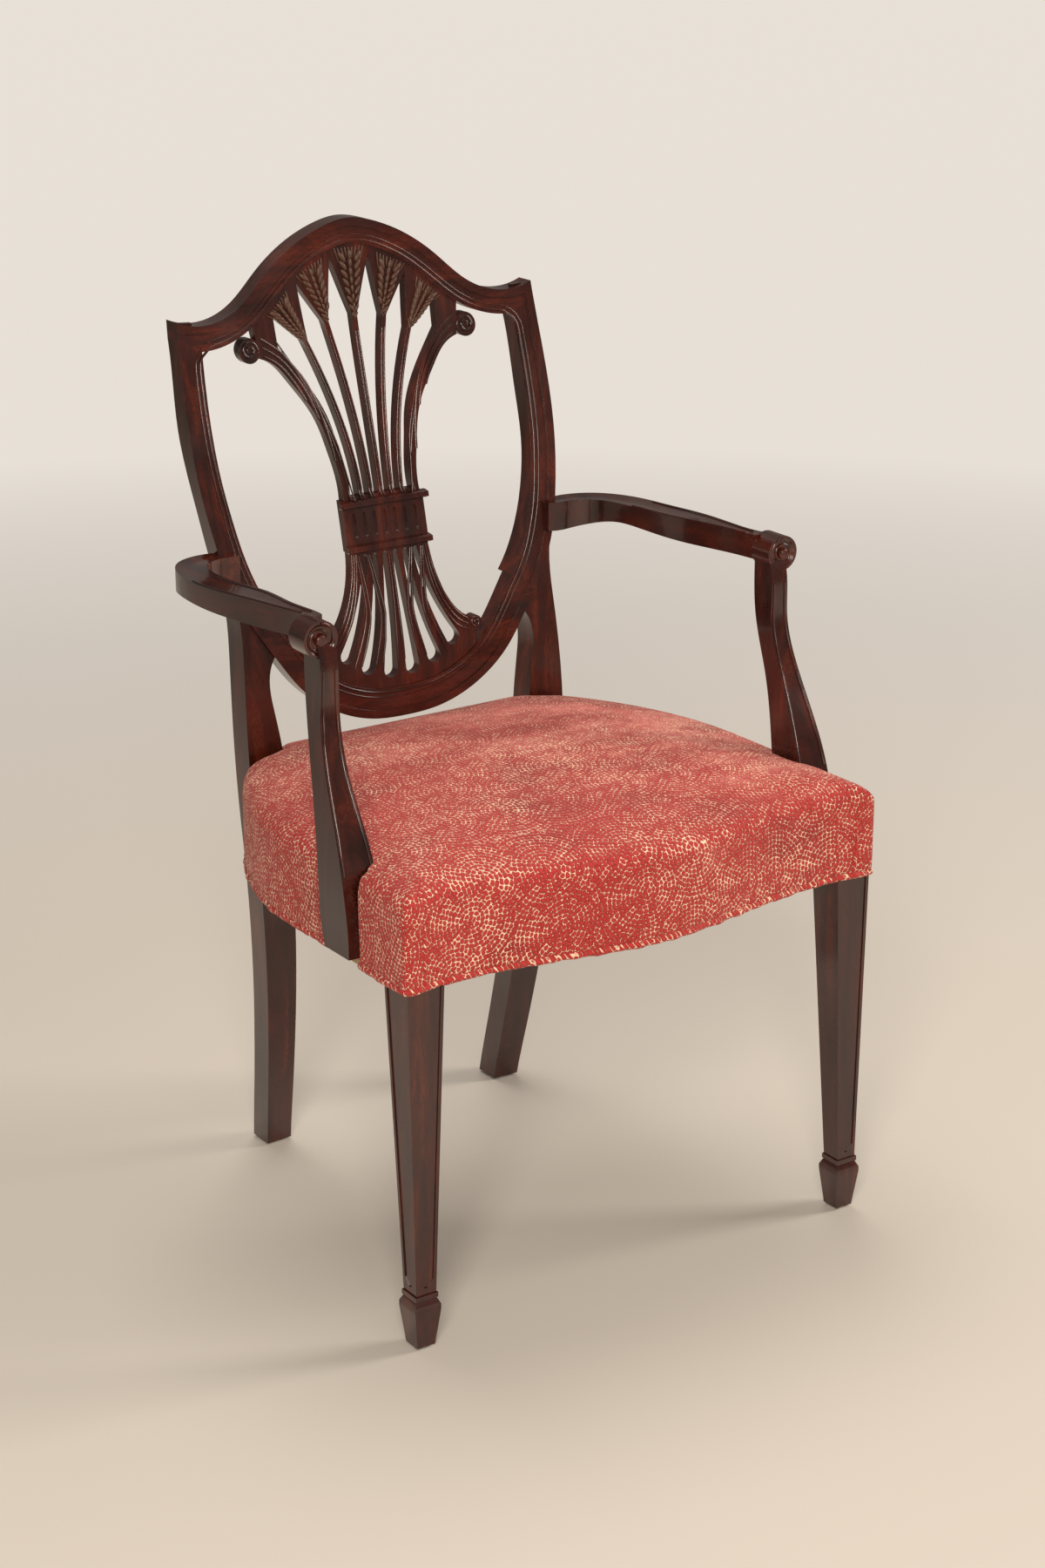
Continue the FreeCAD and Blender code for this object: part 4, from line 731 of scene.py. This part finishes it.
# Ears of wheat: rows of three grains, awns over their heads and a small calyx at their feet.
ears = {
    "places": (     # foot and the two tips of each head
        ((0.0, 0.879), (-0.019, 0.947), (0.019, 0.947)),
        ((0.032, 0.876), (0.032, 0.9395), (0.0665, 0.924)),
        ((0.0645, 0.8623), (0.078, 0.911), (0.1045, 0.887)),
    ),
    "rows": 7,
    "rowLow": 0.10,
    "rowRise": 0.76,
    "halfLow": 0.0022,
    "halfMargin": 0.0042,
    "halfPower": 0.75,
    "columnShare": 0.62,
    "middleLift": 0.03,
    "middleSize": 0.8,
    "grainSize": 0.0031,
    "grainGrowth": 0.0022,
    "grainTurn": 33,
    "grainShape": (0.58, 0.62, 1.45),
    "proud": 0.0006,
    "backLean": 0.177,
    "awns": 9,
    "awnReach": 0.0010,
    "awnTaper": 0.5,
    "awnRoot": 0.86,
    "awnArch": 0.10,
    "awnMargin": 0.04,
    "awnSteps": 8,
    "calyxReach": 0.0013,
    "calyxTaper": 0.6,
    "calyxDrop": 0.004,
    "calyxLength": 0.011,
    "calyxSwing": 0.5,
    "calyxSteps": 5,
}


def earGrains(foot, stem, aside, wide):
    seeds = []
    lean = math.atan2(stem.x, stem.y)
    for row in range(ears["rows"]):
        share = ears["rowLow"] + ears["rowRise"] * row / (ears["rows"] - 1)
        half = ears["halfLow"] + (wide - ears["halfMargin"]) * share ** ears["halfPower"]
        size = ears["grainSize"] + ears["grainGrowth"] * share
        for column in (-1, 0, 1):
            height = share if column else share + ears["middleLift"]
            place = foot + stem * height + aside * (column * half * ears["columnShare"])
            point = onFront(backSurface, place.x, place.y, ears["proud"])
            if point is not None:
                turn = (-math.atan(ears["backLean"]), lean + column * math.radians(ears["grainTurn"]), 0)
                seeds.append((point, turn, size if column else size * ears["middleSize"]))
    return seeds


def earAwns(foot, stem, aside, wide, first, second):
    runs = []
    axis = stem.normalized()
    way = 1 if (second - first).dot(aside) > 0 else -1
    for index in range(ears["awns"]):
        along = index / (ears["awns"] - 1)
        spread = (along - 0.5) * 2
        target = first + (second - first) * (ears["awnMargin"] + (1 - 2 * ears["awnMargin"]) * along)
        root = foot + stem * (ears["awnRoot"] - ears["awnArch"] * abs(spread)) \
            + aside * (way * spread * wide * ears["columnShare"])
        places = [root + (target - root) * step / ears["awnSteps"] for step in range(ears["awnSteps"] + 1)]
        runs.append(laidRun(backSurface, places, ears["awnReach"], lifted, ears["awnTaper"]))
    for index in (-1, 0, 1):
        swing = index * ears["calyxSwing"]
        reach = (axis * math.cos(swing) + aside * math.sin(swing)) * ears["calyxLength"]
        start = foot - axis * ears["calyxDrop"]
        places = [start + reach * step / ears["calyxSteps"] for step in range(ears["calyxSteps"] + 1)]
        runs.append(laidRun(backSurface, places, ears["calyxReach"], lifted, ears["calyxTaper"]))
    return [run for run in runs if len(run) > 2]


earSeeds, awnPaths = [], []
for places in ears["places"]:
    for turn in (-1, 1) if places[0][0] else (1,):
        foot, first, second = [Vector((turn * x, z)) for x, z in places]
        stem = (first + second) / 2 - foot
        aside = Vector((stem.y, -stem.x)).normalized()
        wide = (second - first).length / 2
        earSeeds += earGrains(foot, stem, aside, wide)
        awnPaths += earAwns(foot, stem, aside, wide, first, second)
grains("ear_grains", earSeeds, ears["grainShape"], carvedMahogany)
moulding("ear_awns", awnPaths, carvedMahogany, sides=6)
print("wheat sheaf carved", len(earSeeds), "grains")


# Two small beads round the inside of the shield.
shieldBead = {
    "centre": (0.0, 0.700),
    "steps": 260,
    "search": (110, 300),   # millimetres from the centre
    "margins": ((0.0034, 0.0014), (0.0085, 0.00084)),   # distance from the edge and half width
}


def innerEdge():
    # Where rays from the centre first meet the frame, each place evened over five.
    found = []
    for step in range(shieldBead["steps"]):
        angle = 2 * math.pi * step / shieldBead["steps"]
        for millimetre in range(*shieldBead["search"]):
            x = shieldBead["centre"][0] + math.cos(angle) * millimetre / 1000
            z = shieldBead["centre"][1] + math.sin(angle) * millimetre / 1000
            if fromFront(frameSurface, x, z) is not None:
                found.append(Vector((x, z)))
                break
    count = len(found)
    return [sum((found[(i + k) % count] for k in range(-2, 3)), Vector((0, 0))) / 5 for i in range(count)]


def beadRound(edge, margin, reach):
    path = []
    count = len(edge)
    for index in range(count + 1):
        tangent = (edge[(index + 2) % count] - edge[(index - 2) % count]).normalized()
        place = edge[index % count] + Vector((tangent.y, -tangent.x)) * margin
        point = onFront(frameSurface, place.x, place.y, lifted)
        if point is not None:
            path.append((point, reach))
    return path


shieldEdge = innerEdge()
shieldBeads = [beadRound(shieldEdge, *values) for values in shieldBead["margins"]]
moulding("shield_inner_bead", shieldBeads, crosswiseWood)
print("shield bead laid")


# Arms and supports: paired beads along the edges, and a spiral on each volute.
armWork = {
    "bead": 0.0011,
    "armFrom": -0.076,
    "armRun": 0.190,
    "armSteps": 45,
    "armAcross": (0.17, 0.30),
    "supportBead": 0.0015,
    "supportFrom": 0.455,
    "supportRun": 0.185,
    "supportSteps": 53,
    "supportAcross": (0.24, 0.30),
    "margin": 0.0030,
    "search": 0.0005,
    "volute": (0.2695, 0.667),
    "voluteRadii": (0.0158, 0.0024),
    "voluteTurns": 2.2,
    "voluteReach": 0.0013,
}


def beadPlaces(cast, turn, across):
    # A margin inside the first and the last place at which rays meet the piece.
    low, high = sorted((turn * across[0], turn * across[1]))
    places = [low + index * armWork["search"] for index in range(int((high - low) / armWork["search"]))]
    found = [x for x in places if cast(x) is not None]
    return (found[0] + armWork["margin"], found[-1] - armWork["margin"]) if found else ()


def smoothed(path):
    result = []
    for index, (point, reach) in enumerate(path):
        near = [path[i][0] for i in range(max(0, index - 1), min(len(path), index + 2))]
        result.append((sum(near, Vector()) / len(near), reach))
    return result


def armBeads(side, turn):
    surface = surfaceOf("arm_" + side)
    runs = [[], []]
    for step in range(armWork["armSteps"] + 1):
        y = armWork["armFrom"] + armWork["armRun"] * step / armWork["armSteps"]
        places = beadPlaces(lambda x: fromAbove(surface, x, y), turn, armWork["armAcross"])
        for run, x in zip(runs, places):
            hit = fromAbove(surface, x, y)
            if hit is not None:
                run.append((hit + Vector((0, 0, lifted)), armWork["bead"]))
    centre = (turn * armWork["volute"][0], armWork["volute"][1])
    rolled = spiral(centre, *armWork["voluteRadii"], armWork["voluteTurns"], 90, turn, steps=120)
    return [smoothed(run) for run in runs] + [laidRun(surface, rolled, armWork["voluteReach"], lifted)]


def supportBeads(side, turn):
    surface = surfaceOf("arm_support_" + side)
    runs = [[], []]
    for step in range(armWork["supportSteps"] + 1):
        z = armWork["supportFrom"] + armWork["supportRun"] * step / armWork["supportSteps"]
        places = beadPlaces(lambda x: fromFront(surface, x, z), turn, armWork["supportAcross"])
        for run, x in zip(runs, places):
            point = onFront(surface, x, z, lifted)
            if point is not None:
                run.append((point, armWork["supportBead"]))
    return [smoothed(run) for run in runs]


for side, turn in (("left", 1), ("right", -1)):
    moulding("arm_beads_" + side, armBeads(side, turn), lengthwiseWood)
    moulding("support_beads_" + side, supportBeads(side, turn), uprightWood)
print("arms and supports moulded")


# Stuffed seat: the CAD form drawn down over the rails, remeshed and let swell as cloth.
seat = {
    "weld": 0.0001,
    "underside": 0.0004,
    "low": 0.3695,
    "tuckSize": (0.032, 0.036, 0.072),
    "tuckPlace": (0.126, 0.1705, 0.4070),
    "voxel": 0.0060,
    "softness": 0.5,
    "softenings": 3,
    "shrink": 0.0015,
    "railTop": 0.448,
    "free": 0.472,
    "ease": 0.025,
    "firmest": 0.8,
    "frames": 14,
    "reach": 0.009,
    "shoulder": 0.452,
    "fill": 0.85,
}
stuffing = {
    "quality": 5,
    "mass": 0.3,
    "tension_stiffness": 15,
    "compression_stiffness": 12,
    "shear_stiffness": 6,
    "bending_stiffness": 0.8,
    "use_pressure": True,
    "uniform_pressure_force": 4.0,
}


def stuffedForm():
    mesh = placedMesh("seat_cushion")
    work = bmesh.new()
    work.from_mesh(mesh)
    bmesh.ops.remove_doubles(work, verts=work.verts, dist=seat["weld"])
    lowest = min(vertex.co.z for vertex in work.verts)
    under = [face for face in work.faces if all(v.co.z < lowest + seat["underside"] for v in face.verts)]
    bmesh.ops.delete(work, geom=under, context="FACES")
    rim = [item for item in work.edges if item.is_boundary]
    drawn = bmesh.ops.extrude_edge_only(work, edges=rim)["geom"]
    for item in drawn:
        if isinstance(item, bmesh.types.BMVert):
            item.co.z = seat["low"]
    bmesh.ops.holes_fill(work, edges=[item for item in work.edges if item.is_boundary], sides=0)
    for turn in (-1, 1):    # cloth tucked against the inner side of each back post
        tuck = bmesh.ops.create_cube(work, size=1.0)["verts"]
        bmesh.ops.scale(work, vec=seat["tuckSize"], verts=tuck)
        x, y, z = seat["tuckPlace"]
        bmesh.ops.translate(work, vec=(turn * x, y, z), verts=tuck)
    bmesh.ops.triangulate(work, faces=work.faces)
    bmesh.ops.recalc_face_normals(work, faces=work.faces)
    work.to_mesh(mesh)
    work.free()
    form = linked("seat_upholstery", mesh)
    shape = form.modifiers.new("evenMesh", "REMESH")
    shape.mode = "VOXEL"
    shape.voxel_size = seat["voxel"]
    evaluated(form)
    soften = form.modifiers.new("soften", "SMOOTH")
    soften.factor = seat["softness"]
    soften.iterations = seat["softenings"]
    evaluated(form)
    return form


def stuff(form):
    # Cloth under pressure, held at the rails. Points move a short way at most.
    start = np.array([vertex.co[:] for vertex in form.data.vertices])
    held = form.vertex_groups.new(name="held")
    for vertex in form.data.vertices:
        hold = min(seat["firmest"], (seat["free"] - vertex.co.z) / seat["ease"])
        weight = 1.0 if vertex.co.z < seat["railTop"] else max(0.0, hold)
        held.add([vertex.index], weight, "REPLACE")
        vertex.co -= vertex.normal * seat["shrink"] * (1.0 - weight)
    cloth = form.modifiers.new("stuffing", "CLOTH")
    for key, value in stuffing.items():
        setattr(cloth.settings, key, value)
    cloth.settings.effector_weights.gravity = 0
    cloth.settings.vertex_group_mass = "held"
    cloth.collision_settings.use_collision = False
    cloth.point_cache.frame_start = 1
    cloth.point_cache.frame_end = seat["frames"]
    for frameNumber in range(1, seat["frames"] + 1):
        bpy.context.scene.frame_set(frameNumber)
    graph = bpy.context.evaluated_depsgraph_get()
    swollen = form.evaluated_get(graph).to_mesh()
    after = np.array([vertex.co[:] for vertex in swollen.vertices])
    form.evaluated_get(graph).to_mesh_clear()
    form.modifiers.clear()
    move = after - start
    far = np.linalg.norm(move, axis=1)
    move *= np.minimum(1.0, seat["reach"] / np.maximum(far, 1e-9))[:, None]
    print("cushion points moved up to", round(float(far.max()) * 1000, 1), "mm")
    form.data.vertices.foreach_set("co", (start + move).ravel())
    form.vertex_groups.clear()
    bpy.context.scene.frame_set(1)


def mapCloth(form):
    # The cloth map runs over the crown and down each wall without stretching.
    mesh = form.data
    layer = mesh.uv_layers.new(name="clothMap")
    for face in mesh.polygons:
        front = abs(face.normal.y) > abs(face.normal.x)
        for loopIndex in face.loop_indices:
            x, y, z = mesh.vertices[mesh.loops[loopIndex].vertex_index].co
            drop = max(0.0, seat["shoulder"] - z)
            if front:
                y += math.copysign(drop, face.normal.y)
            else:
                x += math.copysign(drop, face.normal.x)
            layer.data[loopIndex].uv = (x, y)


seatForm = stuffedForm()
stuff(seatForm)
mapCloth(seatForm)
finer = seatForm.modifiers.new("finer", "SUBSURF")
finer.levels = 1
finer.render_levels = 1
evaluated(seatForm)
seatForm.data.shade_smooth()
paint(seatForm, seatVelvet)
settle(seatForm, "velvet", "seat_cushion", "seat_wall")
print("seat stuffed", len(seatForm.data.polygons), "faces")



# Fold of cloth along the bottom edge, and the stitched corners of the front wall.
welt = {
    "reach": 0.0040,
    "centre": (0, -0.04),
    "clear": 0.6,
    "height": 0.003,
    "sunk": 0.0012,
    "drop": 0.0024,
    "lump": 0.9,
    "seamPlace": (0.24, -0.25),
    "seamClear": 0.2,
    "seamWay": (0.72, -0.694),
    "seamLow": 0.374,
    "seamRise": 0.058,
    "seamSteps": 23,
    "seamSunk": 0.0006,
    "seamReach": 0.0017,
    "seamTaper": 0.6,
}


def weltRuns():
    corners = [vertex.co.copy() for vertex in seatForm.data.vertices]
    skin = BVHTree.FromPolygons(corners, [list(face.vertices) for face in seatForm.data.polygons])
    hem = []
    for degree in range(361):
        angle = math.radians(degree)
        direction = Vector((math.cos(angle), math.sin(angle), 0))
        centre = Vector((*welt["centre"], seat["low"] + welt["height"]))
        hit = struck(skin, centre + direction * welt["clear"], -direction)
        if hit is not None:
            hem.append((hit - direction * welt["sunk"] - Vector((0, 0, welt["drop"])), welt["reach"]))
    runs = [hem]
    for turn in (-1, 1):
        seam = []
        direction = Vector((turn * welt["seamWay"][0], welt["seamWay"][1], 0)).normalized()
        for step in range(welt["seamSteps"] + 1):
            share = step / welt["seamSteps"]
            z = welt["seamLow"] + welt["seamRise"] * share
            start = Vector((turn * welt["seamPlace"][0], welt["seamPlace"][1], z))
            hit = struck(skin, start + direction * welt["seamClear"], -direction)
            if hit is not None:
                reach = welt["seamReach"] * (1.0 - welt["seamTaper"] * share ** 4)
                seam.append((hit - direction * welt["seamSunk"], reach))
        runs.append(seam)
    return runs


moulding("seat_welt", weltRuns(), weltVelvet, sides=10, lump=welt["lump"], slotName="velvet")
print("welt sewn")


# Camera, floor and lights.
view = {
    "place": (-1.6378, -2.4478, 1.4729),
    "forward": (0.532, 0.7795, -0.3307),
    "lens": 70.8,
    "farthest": 60,
    "sensor": 36,
}


def setCamera():
    data = bpy.data.cameras.new("photoView")
    camera = linked("photoView", data)
    data.lens = view["lens"]
    data.sensor_width = view["sensor"]
    data.sensor_fit = "AUTO"
    data.clip_end = view["farthest"]
    camera.location = view["place"]
    camera.rotation_euler = Vector(view["forward"]).to_track_quat("-Z", "Y").to_euler()
    bpy.context.scene.camera = camera


studio = {
    "floor": (0.62, 0.575, 0.52),
    "floorSize": 30,
    "wall": (0.80, 0.74, 0.675),
    "none": (0.0, 0.0, 0.0),
    "near": 0.8,
    "far": 3.4,
    "worldLit": 0.22,
}


def setFloor():
    # The floor keeps the shadow near the chair and fades into the wall behind it.
    kit = MaterialKit("paleFloor", (0.9, 0.89, 0.87))
    parts = kit.node("ShaderNodeSeparateXYZ", Vector=kit.objectCoords())
    x, y = kit.value(parts, "X"), kit.value(parts, "Y")
    away = kit.maths("SQRT", x * x + y * y)
    seen = kit.value(kit.node("ShaderNodeLightPath"), "Is Camera Ray")
    faded = kit.span(away, studio["near"], studio["far"]) * seen
    grain = kit.noise(kit.objectCoords(), 30.0)
    kit.finish(Base_Color=kit.mix(faded, studio["floor"], studio["none"]), Roughness=0.8,
               Emission_Color=kit.mix(faded, studio["none"], studio["wall"]), Emission_Strength=1.0,
               Specular_IOR_Level=0.1, Normal=kit.bump(grain, 0.02, 0.0005))
    bpy.ops.mesh.primitive_plane_add(size=studio["floorSize"], location=(0, 0, 0))
    floor = bpy.context.object
    floor.name = "paleFloor"
    paint(floor, kit.material)


def setWorld():
    # The wall is seen at full strength and lights the chair with less.
    world = bpy.data.worlds.new("studio")
    bpy.context.scene.world = world
    world.use_nodes = True
    kit = Kit(world.node_tree)
    seen = kit.node("ShaderNodeLightPath").outputs["Is Camera Ray"]
    level = kit.node("ShaderNodeMapRange", None, seen, 0.0, 1.0, studio["worldLit"], 1.0)
    shade = world.node_tree.nodes["Background"]
    kit.plug(shade.inputs["Color"], (*studio["wall"], 1))
    kit.plug(shade.inputs["Strength"], level.outputs[0])


lamps = {   # place, height of the aim, size, power, colour
    "keyWindow": ((-2.2, -2.9, 2.4), 0.5, (1.3, 1.5), 122, (1.0, 0.90, 0.78)),
    "fillWindow": ((2.7, -1.1, 2.0), 0.5, (0.9, 1.6), 54, (1.0, 0.92, 0.83)),
    "topSoft": ((0.3, 0.9, 3.1), 0.5, (1.8, 1.8), 48, (1.0, 0.94, 0.87)),
    "lowWarm": ((-0.2, -2.4, 0.7), 0.6, (1.6, 0.5), 9, (1.0, 0.86, 0.72)),
}


def addLamp(name, place, aim, size, power, colour):
    data = bpy.data.lights.new(name, "AREA")
    data.shape = "RECTANGLE"
    data.size, data.size_y = size
    data.energy = power
    data.color = colour
    lamp = linked(name, data)
    lamp.location = place
    lamp.rotation_euler = (Vector((0, 0, aim)) - Vector(place)).to_track_quat("-Z", "Y").to_euler()


setCamera()
setFloor()
setWorld()
for name, values in lamps.items():
    addLamp(name, *values)
bpy.context.scene.view_settings.view_transform = "Standard"
print("stage set")
